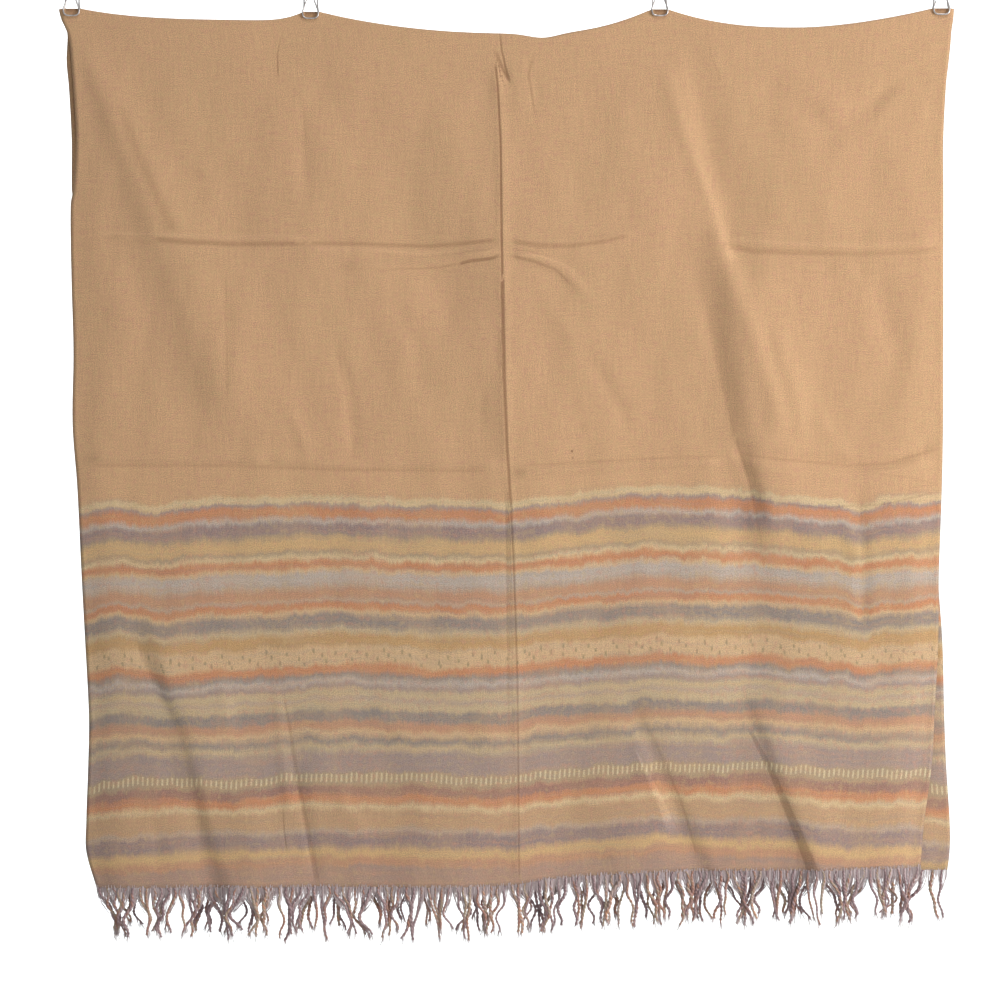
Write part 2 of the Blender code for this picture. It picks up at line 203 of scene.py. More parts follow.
# %% The top edge and the hems
def crest_drop(across):
    """Drop of the top edge: level under each clip and sagging between clips."""
    places = np.array([clip.across for clip in CLIPS_MM]) * MM
    crests = np.array([clip.crest for clip in CLIPS_MM]) * MM
    crest = crests[np.abs(across[..., None] - places).argmin(-1)]
    outside = np.maximum(places[0] - CLIP_FLAT - across, across - places[-1] - CLIP_FLAT)
    crest = crest + CORNER_DROOP * (np.maximum(outside, 0.0) / CLIP_FLAT) ** 2
    for left, right, span in zip(CLIPS_MM, CLIPS_MM[1:], SPANS_MM):
        start = left.across * MM + CLIP_FLAT
        finish = right.across * MM - CLIP_FLAT
        share = (across - start) / (finish - start)
        low = span.low_share
        from_low = np.where(share < low, (low - share) / low, (share - low) / (1 - low))
        power = np.where(share < low, span.left_power, span.right_power)
        away = np.clip(from_low, 0.0, 1.0) ** power
        notch = NOTCH_DEPTH * np.exp(-(((across - NOTCH_ACROSS) / NOTCH_WIDTH) ** 2))
        hang = blend(left.crest, right.crest, share) * MM + span.sag * MM * (1 - away) + notch
        crest = np.where((share > 0) & (share <= 1), hang, crest)
    return crest


def hem_drop(side, across):
    return read_table(HEMS_MM, "across", side, across)


def across_at(side, share, drop):
    """Distance across at a share of the width, in line with the storage crease."""
    left = read_table(LEVELS_MM, "drop", side + "_left", drop)
    right = read_table(LEVELS_MM, "drop", side + "_right", drop)
    middle = np.exp(-(((share - CREASE_SHARE) / CREASE_DRIFT_REACH) ** 2))
    drift = CREASE_DRIFT * (drop / hem_drop(side, 0.0) - 0.5) * middle
    return blend(left, right, share + drift)


# %% Large folds and the space between the two layers
def fold_height(folds, across, drop):
    """Sum of the folds at each place, each a rounded ridge along its own line."""
    total = np.zeros_like(across)
    for fold in folds:
        run_across = (fold.end_across - fold.start_across) * MM
        run_drop = (fold.end_drop - fold.start_drop) * MM
        run = math.hypot(run_across, run_drop)
        from_across = across - fold.start_across * MM
        from_drop = drop - fold.start_drop * MM
        along = (from_across * run_across + from_drop * run_drop) / run
        beside = (from_across * run_drop - from_drop * run_across) / run
        share = np.clip(along / run, 0.0, 1.0)
        width = np.where(beside > 0, fold.right_width, fold.left_width) * MM
        width = width * blend(fold.taper, 1.0, share)
        past_end = (along - run * share) / FOLD_FADE
        height = blend(fold.start_height, fold.end_height, share) * MM
        total += height * np.exp(-((beside / width) ** 2) - past_end**2)
    return total


def half_gap(across, below):
    places = np.array([clip.across for clip in CLIPS_MM]) * MM
    nearest = np.abs(across[..., None] - places).min(-1)
    top = blend(PINCHED_HALF_GAP, OPEN_HALF_GAP, ease(nearest, CLIP_FLAT, CLIP_REACH))
    return blend(top, FALL_HALF_GAP, ease(below, PINCH_DEPTH, PARTING_DEPTH))


def broad_depth(side, across, drop, below):
    """Y of a layer with its large folds alone, as the solids have them."""
    left = read_table(LEVELS_MM, "drop", "front_left", drop)
    right = read_table(LEVELS_MM, "drop", "front_right", drop)
    edge = np.maximum(np.minimum(across - left, right - across), 0.0)
    roll = EDGE_ROLL * (drop / hem_drop("front", across)) * np.exp(-((edge / EDGE_ROLL_WIDTH) ** 2))
    pushed = roll - fold_height(FRONT_FOLDS_MM, across, drop)
    loose = ease(below, RELIEF_START, RELIEF_FULL)
    if side == "front":
        return loose * pushed - half_gap(across, below)
    shared = 0.5 * (1 + BACK_FOLLOW) * pushed
    shared += 0.5 * (1 - BACK_FOLLOW) * np.sqrt(pushed**2 + FOLLOW_SOFTNESS**2)
    own = fold_height(BACK_FOLDS_MM, across, drop)
    return loose * (shared + own) + half_gap(across, below)


# %% [markdown]
# ## Creases
#
# The stole was stored folded, and it still shows it: one sharp crease down the middle,
# two across, and short puckers where they meet. Real creases are uneven, so each is given
# as a line through two or more spots, with its own width and height. A negative
# height is a trough. The back has creases of its own at the same storage folds.

# %% Creases of the front and the back
Crease = namedtuple("Crease", "course width height")
FRONT_CREASES_MM = [
    # Storage crease down the middle
    Crease([(-12, 70), (-8, 124), (-5, 200), (-4, 300), (-2, 420), (1, 532)], 7.0, 1.1),
    Crease([(1, 532), (6, 575), (9, 640), (11, 720), (13, 976)], 5.0, 0.6),
    Crease([(-1, 560), (0, 620), (1, 760)], 3.0, -0.5),
    Crease([(-13, 84), (0, 106), (5, 120)], 4.0, -2.2),
    Crease([(-24, 84), (-12, 106), (-8, 134)], 5.0, 1.8),
    Crease([(29, 90), (33, 128), (31, 150)], 7.0, -1.1),
    # Upper storage crease across
    Crease([(-430, 281), (-352, 284), (-300, 285), (-215, 283)], 4.6, 1.9),
    Crease([(-215, 287), (-110, 289), (-70, 293), (-8, 290)], 4.6, -1.4),
    Crease([(-6, 287), (34, 290), (84, 286), (139, 279)], 6.0, 1.8),
    Crease([(236, 281), (300, 287), (380, 289), (462, 285)], 9.0, 2.4),
    Crease([(238, 296), (300, 303), (360, 305)], 11.0, -0.8),
    # Pucker where the two storage creases meet
    Crease([(-176, 314), (-114, 309), (-70, 306), (-40, 300), (-8, 293)], 5.0, 2.0),
    Crease([(-114, 321), (-71, 318), (-44, 312), (-10, 305)], 3.4, -0.9),
    Crease([(2, 299), (26, 303), (58, 314), (74, 330), (91, 349)], 4.2, 1.6),
    Crease([(6, 310), (40, 318), (66, 336)], 4.6, -0.5),
    Crease([(330, 322), (348, 316), (352, 326)], 5.0, -1.3),
    Crease([(374, 313), (392, 322)], 5.0, -1.3),
    Crease([(278, 318), (330, 320), (384, 316)], 6.0, 0.8),
    # Lower storage crease across
    Crease([(-450, 520), (-330, 519), (-255, 520)], 5.0, 3.0),
    Crease([(-255, 522), (-158, 527), (-60, 525), (-6, 527)], 5.0, 2.6),
    Crease([(10, 536), (88, 530), (160, 526), (232, 524)], 5.0, 3.0),
    Crease([(244, 512), (300, 520), (370, 526), (420, 522), (462, 505)], 6.0, -2.2),
    Crease([(250, 526), (310, 536), (380, 540), (458, 522)], 7.0, 1.5),
    # Slack between the clips
    Crease([(210, 52), (222, 86), (234, 118)], 5.0, 0.9),
    Crease([(274, 112), (352, 164), (452, 100)], 16.0, -1.6),
    Crease([(332, 140), (396, 160), (462, 64)], 12.0, 1.4),
    Crease([(388, 140), (425, 112), (462, 82)], 6.0, -1.1),
    Crease([(-446, 54), (-432, 68), (-417, 84)], 6.0, -0.9),
    Crease([(-408, 143), (-386, 197), (-365, 241), (-348, 279)], 8.0, 0.5),
    Crease([(171, 92), (178, 130), (190, 162), (204, 202), (219, 236), (231, 265)], 9.0, 1.3),
    Crease([(225, 265), (238, 305), (252, 349), (270, 400), (288, 457), (298, 492)], 11.0, 2.3),
    Crease([(-303, 330), (-301, 390), (-302, 450)], 6.0, -0.8),
    Crease([(-218, 130), (-220, 180), (-216, 250)], 7.0, -0.8),
    Crease([(-234, 466), (-220, 496), (-212, 520)], 5.0, 1.4),
    Crease([(-184, 400), (-170, 440), (-163, 520)], 6.0, -1.1),
    Crease([(-26, 440), (-28, 500)], 3.0, -0.8),
    Crease([(78, 390), (108, 440), (134, 490)], 8.0, -1.2),
    Crease([(40, 350), (80, 400), (110, 420)], 8.0, 0.9),
    Crease([(213, 343), (225, 397), (237, 457), (247, 500)], 8.0, -1.0),
    Crease([(247, 500), (262, 540), (276, 590)], 5.5, -1.9),
    Crease([(290, 380), (306, 430), (322, 500)], 9.0, 1.6),
    Crease([(330, 470), (352, 500), (372, 520)], 8.0, 1.3),
    Crease([(-120, 350), (-96, 400), (-90, 450)], 11.0, -0.9),
    Crease([(-400, 300), (-392, 380), (-404, 460)], 14.0, -1.0),
    Crease([(400, 320), (420, 400), (404, 470)], 14.0, -1.2),
    # Pulled weave in the striped end
    Crease([(378, 560), (386, 620), (384, 700)], 7.0, -1.9),
    Crease([(364, 600), (380, 628), (404, 612)], 6.0, 1.4),
    Crease([(-246, 775), (-240, 850), (-232, 905)], 6.0, 1.5),
    Crease([(-228, 850), (-216, 910), (-203, 975)], 6.0, -1.9),
    Crease([(-182, 870), (-170, 900), (-150, 925)], 6.0, 1.2),
    Crease([(-128, 818), (-60, 818), (-8, 817)], 6.0, 2.4),
    Crease([(36, 820), (100, 815), (150, 818)], 6.0, 2.0),
    Crease([(252, 922), (266, 906), (290, 918)], 6.0, 0.9),
    Crease([(256, 926), (310, 908), (330, 922)], 5.0, -1.2),
    Crease([(-398, 720), (-372, 775), (-349, 816), (-335, 881), (-326, 950)], 8.0, -1.8),
    Crease([(-306, 760), (-296, 830)], 7.0, 1.0),
    Crease([(-322, 868), (-296, 985)], 26.0, -3.6),
    Crease([(136, 818), (160, 872), (176, 920)], 9.0, 1.6),
    Crease([(-380, 905), (-376, 960)], 7.0, -0.9),
]
BACK_CREASES_MM = [
    Crease([(-8, 66), (-6, 240), (0, 480), (8, 700), (12, 968)], 2.6, -1.7),
    Crease([(-440, 283), (-240, 289), (-80, 284), (-6, 289)], 4.2, 1.6),
    Crease([(6, 290), (150, 284), (300, 291), (450, 287)], 4.6, 1.4),
    Crease([(-70, 300), (-30, 306), (6, 296)], 3.4, 1.2),
    Crease([(14, 300), (60, 309), (100, 306)], 3.6, 1.0),
    Crease([(-446, 529), (-250, 534), (-60, 528), (0, 533)], 5.0, 1.3),
    Crease([(10, 532), (170, 527), (320, 536), (450, 530)], 5.4, 1.2),
    Crease([(-40, 540), (-24, 556), (4, 562)], 4.0, -1.1),
    Crease([(260, 60), (230, 120), (236, 180)], 6.0, 1.0),
    Crease([(-120, 60), (-160, 110), (-180, 190)], 8.0, 1.1),
    Crease([(-330, 60), (-352, 120), (-400, 170)], 9.0, -1.0),
    Crease([(330, 90), (372, 150), (440, 110)], 12.0, -1.2),
    Crease([(-300, 330), (-290, 400), (-296, 470)], 5.0, 0.8),
    Crease([(200, 340), (214, 420), (206, 480)], 6.0, 0.9),
    Crease([(370, 560), (384, 640), (380, 720)], 6.0, 1.2),
    Crease([(-210, 700), (-190, 790), (-196, 880)], 4.6, 1.4),
    Crease([(-330, 780), (-300, 860), (-304, 960)], 6.0, -1.5),
    Crease([(90, 760), (110, 850), (104, 940)], 5.0, 1.2),
    Crease([(250, 800), (280, 880), (330, 950)], 5.0, 1.7),
    Crease([(-60, 812), (10, 818), (60, 812)], 5.0, 1.0),
    # Turns the strip beside the front's edge to the light
    Crease([(424, 740), (434, 860), (442, 972)], 24.0, 5.0),
]
CREASE_END_FADE = (-4.8 * MM, 16 * MM)
FAR_AWAY = 1000.0


# %% Depth of the creases at each point
def course_distance(course, across, drop):
    """Signed distance to a line of several spots, the place along it, and its length."""
    spots = np.array(course, float) * MM
    legs = np.diff(spots, axis=0)
    lengths = np.hypot(legs[:, 0], legs[:, 1])
    passed = np.concatenate([[0.0], np.cumsum(lengths)])
    nearest = np.full(across.shape, FAR_AWAY)
    signed = np.full(across.shape, FAR_AWAY)
    along = np.zeros(across.shape)
    for spot, leg, length, before in zip(spots, legs, lengths, passed):
        from_across = across - spot[0]
        from_drop = drop - spot[1]
        share = np.clip((from_across * leg[0] + from_drop * leg[1]) / length**2, 0.0, 1.0)
        away = np.hypot(from_across - share * leg[0], from_drop - share * leg[1])
        side = np.sign(from_across * leg[1] - from_drop * leg[0])
        closer = away < nearest
        nearest = np.where(closer, away, nearest)
        signed = np.where(closer, side * away, signed)
        along = np.where(closer, before + share * length, along)
    return signed, along, passed[-1]


def crease_height(creases, across, drop):
    total = np.zeros_like(across)
    for crease in creases:
        signed, along, length = course_distance(crease.course, across, drop)
        fade = ease(np.minimum(along, length - along), *CREASE_END_FADE)
        total += crease.height * MM * fade * np.exp(-((signed / (crease.width * MM)) ** 2))
    return total


# %% [markdown]
# The sharpest creases are a thread or two wide, finer than the mesh can bend. Light is
# lost in them, so they read as thin dark lines, and that shade is painted into the colour.
# For these each point of the mesh only notes how far it is from the nearest line, how wide
# the line is there, both counted in the softness of its edge, and how dark it is. The
# finish draws the painted shade from those three. Lines that run down the cloth and lines
# that run across it are kept apart, because the two kinds cross. A darkness below zero is
# a painted highlight on a flank that faces the light, paler than the cloth about it.

# %% Painted shade and highlight along the sharp creases
Line = namedtuple("Line", "course start_half_width end_half_width softness start_dark end_dark")
FRONT_LINES_MM = {
    "upright": [
        # Storage crease down the middle, and the pocket at its top
        Line([(-13, 78), (-8, 91), (-3, 102), (4, 116)], 2.6, 0.9, 1.2, 0.18, 0.46),
        Line([(-12, 92), (-9, 120), (-6, 180), (-5, 276), (-4, 330)], 1.1, 1.3, 0.9, 0.46, 0.46),
        Line([(-4, 322), (-4, 340), (-2, 435), (1, 511), (6, 586)], 2.0, 1.3, 1.2, 0.46, 0.38),
        Line([(5, 572), (8, 628), (10, 690), (12, 760), (13, 860), (14, 978)], 1.1, 0.9, 1.0, 0.34, 0.24),
        Line([(0, 560), (1, 673), (2, 759), (3, 815)], 1.0, 1.0, 1.4, 0.04, 0.12),
        Line([(-8, 386), (-9, 410), (-6, 440)], 1.2, 0.8, 1.4, 0.10, 0.05),
        # Short lines near the clips
        Line([(-241, 59), (-245, 73), (-247, 86), (-246, 111)], 0.6, 0.8, 0.8, 0.10, 0.40),
        Line([(29, 84), (24, 108), (28, 130), (31, 151)], 1.6, 1.0, 1.4, 0.17, 0.19),
        Line([(213, 40), (216, 60), (222, 88), (234, 118)], 0.8, 1.2, 1.6, 0.03, 0.09),
        Line([(-303, 322), (-301, 390), (-300, 460)], 1.0, 1.0, 1.6, 0.08, 0.07),
        Line([(-219, 128), (-218, 160), (-216, 200)], 1.0, 1.0, 1.6, 0.08, 0.04),
        Line([(-184, 398), (-172, 450), (-163, 524)], 1.4, 1.4, 1.8, 0.07, 0.06),
        Line([(150, 94), (158, 120), (166, 150)], 1.0, 1.0, 1.6, 0.05, 0.03),
        # Dark flank of the long fold at the right
        Line([(209, 320), (225, 397), (237, 457), (247, 500)], 3.0, 2.4, 3.4, 0.03, 0.11),
        Line([(246, 494), (258, 532), (270, 580), (280, 640)], 1.8, 1.4, 2.0, 0.22, 0.04),
        # Folds near the hem
        Line([(262, 812), (285, 856), (312, 919), (332, 970)], 1.8, 6.0, 1.2, 0.22, 0.25),
        Line([(-240, 776), (-232, 820), (-225, 867), (-216, 910), (-203, 980)], 1.4, 3.0, 1.8, 0.18, 0.24),
        Line([(-241, 896), (-239, 925), (-236, 946)], 0.8, 1.0, 1.0, 0.22, 0.24),
        Line([(-398, 716), (-382, 752), (-368, 781), (-349, 816), (-335, 881)], 3.4, 3.0, 4.0, 0.11, 0.05),
        Line([(150, 806), (172, 850), (192, 900), (206, 950)], 1.6, 1.0, 1.4, 0.05, 0.20),
        Line([(-264, 850), (-258, 880)], 0.7, 0.7, 1.0, 0.08, 0.10),
        # Broad shade left of the fold at the upper left
        Line([(-417, 136), (-395, 197), (-374, 241), (-357, 279)], 3.5, 5.0, 4.5, 0.07, 0.13),
        # Painted highlight along the creases across, on the flanks that face the light
        Line([(-440, 278), (-352, 280), (-300, 281), (-215, 280)], 1.6, 1.6, 2.4, -0.07, -0.07),
        Line([(-210, 294), (-150, 295), (-82, 299), (-28, 294)], 1.6, 1.6, 2.2, -0.05, -0.09),
        Line([(20, 299), (40, 303), (62, 311), (84, 328)], 1.2, 1.0, 1.6, -0.10, -0.06),
        Line([(240, 283), (300, 289), (380, 291), (447, 288)], 2.0, 1.6, 2.6, -0.07, -0.06),
    ],
    "level": [
        # Painted highlight on the lit wedge beside a short fold near the hem
        Line([(138, 832), (152, 860), (166, 890), (180, 925)], 0.8, 5.5, 1.2, -0.20, -0.15),
        # Light on the long fold at the right
        Line([(178, 100), (190, 150), (208, 205), (228, 260), (244, 310)], 2.5, 5.5, 4.5, -0.04, -0.12),
        # Right side of the pocket
        Line([(-7, 58), (-5, 79), (0, 102), (5, 116)], 0.8, 1.3, 1.0, 0.30, 0.46),
        Line([(-34, 97), (-21, 106)], 0.7, 0.7, 1.2, 0.10, 0.14),
        # Upper storage crease
        Line([(-432, 280), (-372, 281)], 0.8, 0.8, 1.4, 0.05, 0.09),
        Line([(-380, 284), (-352, 287), (-300, 289), (-236, 289), (-212, 288)], 2.8, 2.4, 2.2, 0.22, 0.20),
        Line([(-224, 288), (-150, 289), (-82, 291), (-8, 285)], 2.2, 2.2, 1.8, 0.18, 0.22),
        Line([(4, 286), (37, 291), (70, 291), (102, 287), (136, 279)], 2.8, 1.8, 2.2, 0.22, 0.18),
        Line([(236, 290), (268, 297), (380, 300), (447, 297), (468, 292)], 3.0, 2.0, 2.8, 0.19, 0.12),
        # Puckers beside the middle
        Line([(-150, 319), (-114, 316), (-71, 314), (-50, 309)], 0.6, 1.0, 1.2, 0.03, 0.20),
        Line([(-54, 311), (-38, 307), (-17, 305), (-5, 301)], 1.8, 1.8, 1.2, 0.38, 0.34),
        Line([(4, 302), (28, 307), (54, 317), (70, 334)], 1.6, 1.2, 1.4, 0.24, 0.14),
        Line([(324, 322), (336, 318), (350, 325)], 0.8, 0.8, 1.2, 0.12, 0.10),
        Line([(372, 315), (392, 322)], 0.8, 0.8, 1.2, 0.12, 0.06),
        # Lower storage crease
        Line([(-450, 528), (-300, 528), (-200, 532), (-20, 534)], 1.6, 1.4, 2.0, 0.12, 0.11),
        Line([(20, 528), (88, 524), (160, 520), (232, 518)], 1.2, 1.2, 1.8, 0.10, 0.09),
        Line([(250, 516), (300, 522), (370, 528), (410, 526), (466, 510)], 1.8, 1.2, 2.2, 0.13, 0.12),
        Line([(396, 536), (430, 540), (466, 548)], 0.8, 0.8, 1.4, 0.08, 0.10),
        # Painted shade in the creases of pulled weave at the top of the stripes and at the teeth
        Line([(252, 563), (300, 569), (340, 574), (386, 570)], 0.8, 0.8, 1.2, 0.12, 0.20),
        Line([(378, 572), (410, 569), (466, 556)], 0.8, 0.8, 1.2, 0.20, 0.14),
        Line([(-130, 823), (-60, 823), (-10, 822)], 1.0, 1.0, 1.4, 0.08, 0.06),
        Line([(30, 827), (84, 822), (116, 822)], 1.0, 1.0, 1.4, 0.10, 0.08),
        Line([(290, 806), (350, 812), (440, 818)], 0.8, 0.8, 1.4, 0.10, 0.06),
        Line([(256, 930), (290, 916), (322, 924)], 1.0, 1.0, 1.4, 0.08, 0.10),
    ],
}
# Painted shade along the creases of the back
BACK_LINES_MM = {
    "upright": [
        Line([(-10, 90), (-6, 240), (0, 480), (8, 700), (12, 970)], 0.9, 0.7, 0.9, 0.32, 0.14),
        Line([(-208, 720), (-190, 800), (-196, 900)], 1.2, 1.4, 1.4, 0.10, 0.16),
        Line([(252, 806), (282, 880), (330, 956)], 1.2, 3.6, 1.2, 0.12, 0.20),
        # Painted shadow of the front layer's left edge on the back layer beside it
        Line([(-472, 66), (-469, 92), (-467, 130), (-464, 190), (-466, 228)], 1.2, 0.8, 1.0, 0.55, 0.35),
    ],
    "level": [
        Line([(-440, 287), (-240, 292), (-80, 288), (-8, 292)], 0.9, 0.8, 1.2, 0.14, 0.14),
        Line([(6, 293), (150, 288), (300, 295), (460, 290)], 0.9, 1.2, 1.4, 0.12, 0.16),
        Line([(-446, 533), (-250, 538), (-60, 532), (0, 536)], 0.8, 0.8, 1.4, 0.06, 0.08),
    ],
}
# Shade inside a jaw, from its clip's crest
JAW_SHADE_MM = Line([(0, -12), (0, 9.5)], 6.6, 6.6, 1.2, 0.58, 0.58)
for clip in CLIPS_MM:
    pinched = [(clip.across, clip.crest + drop) for _, drop in JAW_SHADE_MM.course]
    FRONT_LINES_MM["upright"].append(JAW_SHADE_MM._replace(course=pinched))
LINE_REACH = (6.5 * MM, 9 * MM)
LINE_END_FADE = 9 * MM
FAR_OFFSET = 30.0


def line_marks(lines, across, drop):
    """Distance to the nearest line and its half width, in softnesses, and the darkness of its painted
    shade.
    """
    nearest = np.full(across.shape, FAR_AWAY)
    offset = np.full(across.shape, FAR_OFFSET)
    rim = np.zeros(across.shape)
    dark = np.zeros(across.shape)
    for line in lines:
        signed, along, length = course_distance(line.course, across, drop)
        away = np.abs(signed)
        closer = away < nearest
        nearest = np.where(closer, away, nearest)
        fade = ease(np.minimum(along, length - along), 0.0, LINE_END_FADE)
        half_width = blend(line.start_half_width, line.end_half_width, along / length)
        here = blend(line.start_dark, line.end_dark, along / length) * fade
        here = here * (1 - ease(away - half_width * MM, *LINE_REACH))
        reach = np.clip(signed / (line.softness * MM), -FAR_OFFSET, FAR_OFFSET)
        offset = np.where(closer, reach, offset)
        rim = np.where(closer, half_width / line.softness, rim)
        dark = np.where(closer, here, dark)
    return offset, rim, dark


# %% [markdown]
# Cloth is never quite flat between its creases either. A few slow waves of unlike lengths,
# laid over each other in slanted directions, give the soft dents of a woven cloth that
# has been folded and hung out again. Each is about half a millimetre high or less.

# %% Small unevenness of hung cloth
Swell = namedtuple("Swell", "across_length drop_length turn height")
SWELLS_MM = [
    Swell(173, 640, 0.3, 0.55),
    Swell(97, -410, 1.9, 0.34),
    Swell(61, 290, 4.1, 0.20),
    Swell(-143, 118, 2.6, 0.22),
    Swell(47, -133, 5.2, 0.12),
    Swell(29, 210, 0.9, 0.07),
]


def swell_height(across, drop):
    total = np.zeros_like(across)
    for swell in SWELLS_MM:
        phase = across / (swell.across_length * MM) + drop / (swell.drop_length * MM)
        total += swell.height * MM * np.sin(math.tau * phase + swell.turn)
    return total


def layer_place(side, share, drop, below):
    """Points of the shown cloth on one layer."""
    across = across_at(side, share, drop)
    depth = broad_depth(side, across, drop, below)
    creases = FRONT_CREASES_MM if side == "front" else BACK_CREASES_MM
    fine = crease_height(creases, across, drop) + swell_height(across, drop)
    loose = ease(below, 0.0, PARTING_DEPTH)
    return np.stack([across, depth - loose * fine, -drop], axis=-1)


# %% [markdown]
# ## Weaving the sheet
#
# The stole is one cloth, and it is shown in two sheets that meet just behind the fold,
# where the solids part too. Each starts as a flat grid and is bent into place. Columns
# crowd together at the middle crease and rows at the two crease lines across, because a
# sharp crease needs points closer than its own width. The plain stretches stay coarser,
# which keeps each sheet under the limit on triangles.

# %% Where columns and rows of points go
COLUMN_STEP = 4.6 * MM
CREASE_COLUMN_STEP = 1.1 * MM
CREASE_ZONE = 17 * MM
FRONT_ROW_STEP = 5.3 * MM
BACK_ROW_STEP = 7.0 * MM
CREASE_ROW_STEP = 2.0 * MM
CREASE_ROWS_MM = [(276, 326), (518, 546)]
SHORTEST_LAST_STEP = 0.6


def stations(start, finish, step, zones, zone_step):
    """Places from start to finish, a step apart, and a smaller step apart in each zone."""
    places = [start]
    while places[-1] < finish - SHORTEST_LAST_STEP * step:
        close = any(low <= places[-1] < high for low, high in zones)
        places.append(places[-1] + (zone_step if close else step))
    places[-1] = finish
    return np.array(places)


crease_across = CREASE_SHARE * CLOTH_WIDTH
crease_zone = (crease_across - CREASE_ZONE, crease_across + CREASE_ZONE)
column_places = stations(0.0, CLOTH_WIDTH, COLUMN_STEP, [crease_zone], CREASE_COLUMN_STEP)
column_shares = column_places / CLOTH_WIDTH
row_zones = [(low * MM, high * MM) for low, high in CREASE_ROWS_MM]
print("columns across the cloth:", len(column_shares))


# %% Bend a flat grid into a sheet
def sheet_mesh(name, columns, rows):
    """A flat grid as a mesh, with the column and the row of each of its points."""
    form = bmesh.new()
    bmesh.ops.create_grid(form, x_segments=columns, y_segments=rows, size=0.5)
    mesh = bpy.data.meshes.new(name)
    form.to_mesh(mesh)
    form.free()
    flat = np.zeros(len(mesh.vertices) * 3, np.float32)
    mesh.vertices.foreach_get("co", flat)
    flat = flat.reshape(-1, 3)
    column = np.rint((flat[:, 0] + 0.5) * columns).astype(int)
    row = np.rint((flat[:, 1] + 0.5) * rows).astype(int)
    return mesh, column, row


def set_points(mesh, places):
    mesh.vertices.foreach_set("co", places.astype(np.float32).ravel())
    mesh.update()


def set_number(mesh, name, values):
    """Gives each point of a mesh a number that its material can read."""
    attribute = mesh.attributes.new(name, "FLOAT", "POINT")
    attribute.data.foreach_set("value", values.astype(np.float32).ravel())


# %% [markdown]
# ## Stripes that don't lie level
#
# The stripes follow the weft, and the weft is pulled about by the hanging: it lifts and
# dips by up to 20 mm, most of all at the right. Four lines of the pattern were followed
# across the cloth. Each row of the table gives how far they lie below their level place
# there, to the nearest millimetre. Between the four lines, the shift is read off in
# proportion.

# %% How far the weft hangs below level
Lie = namedtuple("Lie", "across gold teeth rust top")
LIE_MM = [
    Lie(-460, 2, 10, 6, 1),
    Lie(-422, 0, -1, -2, -4),
    Lie(-384, -2, -3, 1, 1),
    Lie(-363, -3, -3, 7, -2),
    Lie(-330, -7, -1, 2, -6),
    Lie(-287, -7, 1, 1, -6),
    Lie(-251, -7, -3, 0, -7),
    Lie(-222, -9, -6, -2, -8),
    Lie(-190, -9, -5, -5, -8),
    Lie(-114, -9, -6, -3, -5),
    Lie(-89, -8, -6, 0, -5),
    Lie(-28, -7, -1, -1, -2),
    Lie(11, -3, -1, 0, 1),
    Lie(58, -3, 0, 0, 1),
    Lie(123, -4, -1, 1, -3),
    Lie(166, -6, -2, -1, -2),
    Lie(210, -2, 1, 3, 0),
    Lie(237, -1, 1, 5, 1),
    Lie(271, 0, -1, 2, 4),
    Lie(296, 0, 2, 4, 7),
    Lie(318, 2, 4, 7, 10),
    Lie(360, 9, 8, 12, 14),
    Lie(382, 12, 10, 19, 20),
    Lie(402, 11, 10, 15, 14),
    Lie(426, 11, 10, 15, 12),
    Lie(469, 12, 12, 11, 10),
]
LIE_LEVELS_MM = {"gold": 32, "teeth": 114, "rust": 232, "top": 408}


def pattern_level(across, above_hem):
    """Level in the woven pattern at a height above the hem."""
    names = list(LIE_LEVELS_MM)
    shift = read_table(LIE_MM, "across", names[0], across)
    for lower, upper in zip(names, names[1:]):
        start = LIE_LEVELS_MM[lower] * MM
        finish = LIE_LEVELS_MM[upper] * MM
        share = np.clip((above_hem - start) / (finish - start), 0.0, 1.0)
        shift = blend(shift, read_table(LIE_MM, "across", upper, across), share)
    return above_hem + shift


# %% Weave the front sheet, over the fold and down to the seam behind it
FOLD_ANGLES = np.radians([0, 20, 45, 70, 90, 110, 135, 160, 180])
REAR_SHARES = np.array([0.0, 0.2, 0.4, 0.6, 0.8, 0.985, 1.0])
CLOTH_THICKNESS = 0.7 * MM


def fold_centre(share):
    """Crest, fold radius and drop of the fold's axis at shares of the width."""
    level = CLIPS_MM[0].crest * MM
    crest = crest_drop(across_at("front", share, level))
    radius = half_gap(across_at("front", share, crest), np.zeros_like(share))
    return crest, radius, crest + SOLID_WALL / 2 + radius


def front_place(share, fall_shares, row):
    """Points by row: up the front, round the fold, then down behind it."""
    crest, radius, axis_drop = fold_centre(share)
    hem = hem_drop("front", across_at("front", share, HEMS_MM[0].front * MM))
    last_fall = len(fall_shares) - 1
    drop = blend(axis_drop, hem, fall_shares[np.minimum(row, last_fall)])
    place = layer_place("front", share, drop, drop - crest)
    angle = FOLD_ANGLES[np.clip(row - last_fall, 0, len(FOLD_ANGLES) - 1)]
    round_across = blend(
        across_at("front", share, axis_drop), across_at("back", share, axis_drop), angle / math.pi
    )
    round_place = np.stack(
        [round_across, -radius * np.cos(angle), -(axis_drop - radius * np.sin(angle))], axis=-1
    )
    rear = REAR_SHARES[np.clip(row - last_fall - len(FOLD_ANGLES) + 1, 0, len(REAR_SHARES) - 1)]
    rear_drop = blend(axis_drop, crest + FOLD_LEG, rear)
    rear_place = layer_place("back", share, rear_drop, rear_drop - crest)
    place = np.where((row > last_fall)[:, None], round_place, place)
    return np.where((rear > 0)[:, None], rear_place, place)


def along_cloth(mesh, places, column, row):
    """Distance from the hem along the cloth, for each point."""
    columns = column.max() + 1
    rows = row.max() + 1
    grid = np.zeros((rows, columns, 3))
    grid[row, column] = places
    steps = np.linalg.norm(np.diff(grid, axis=0), axis=2)
    length = np.concatenate([np.zeros((1, columns)), np.cumsum(steps, axis=0)])
    return length[row, column]


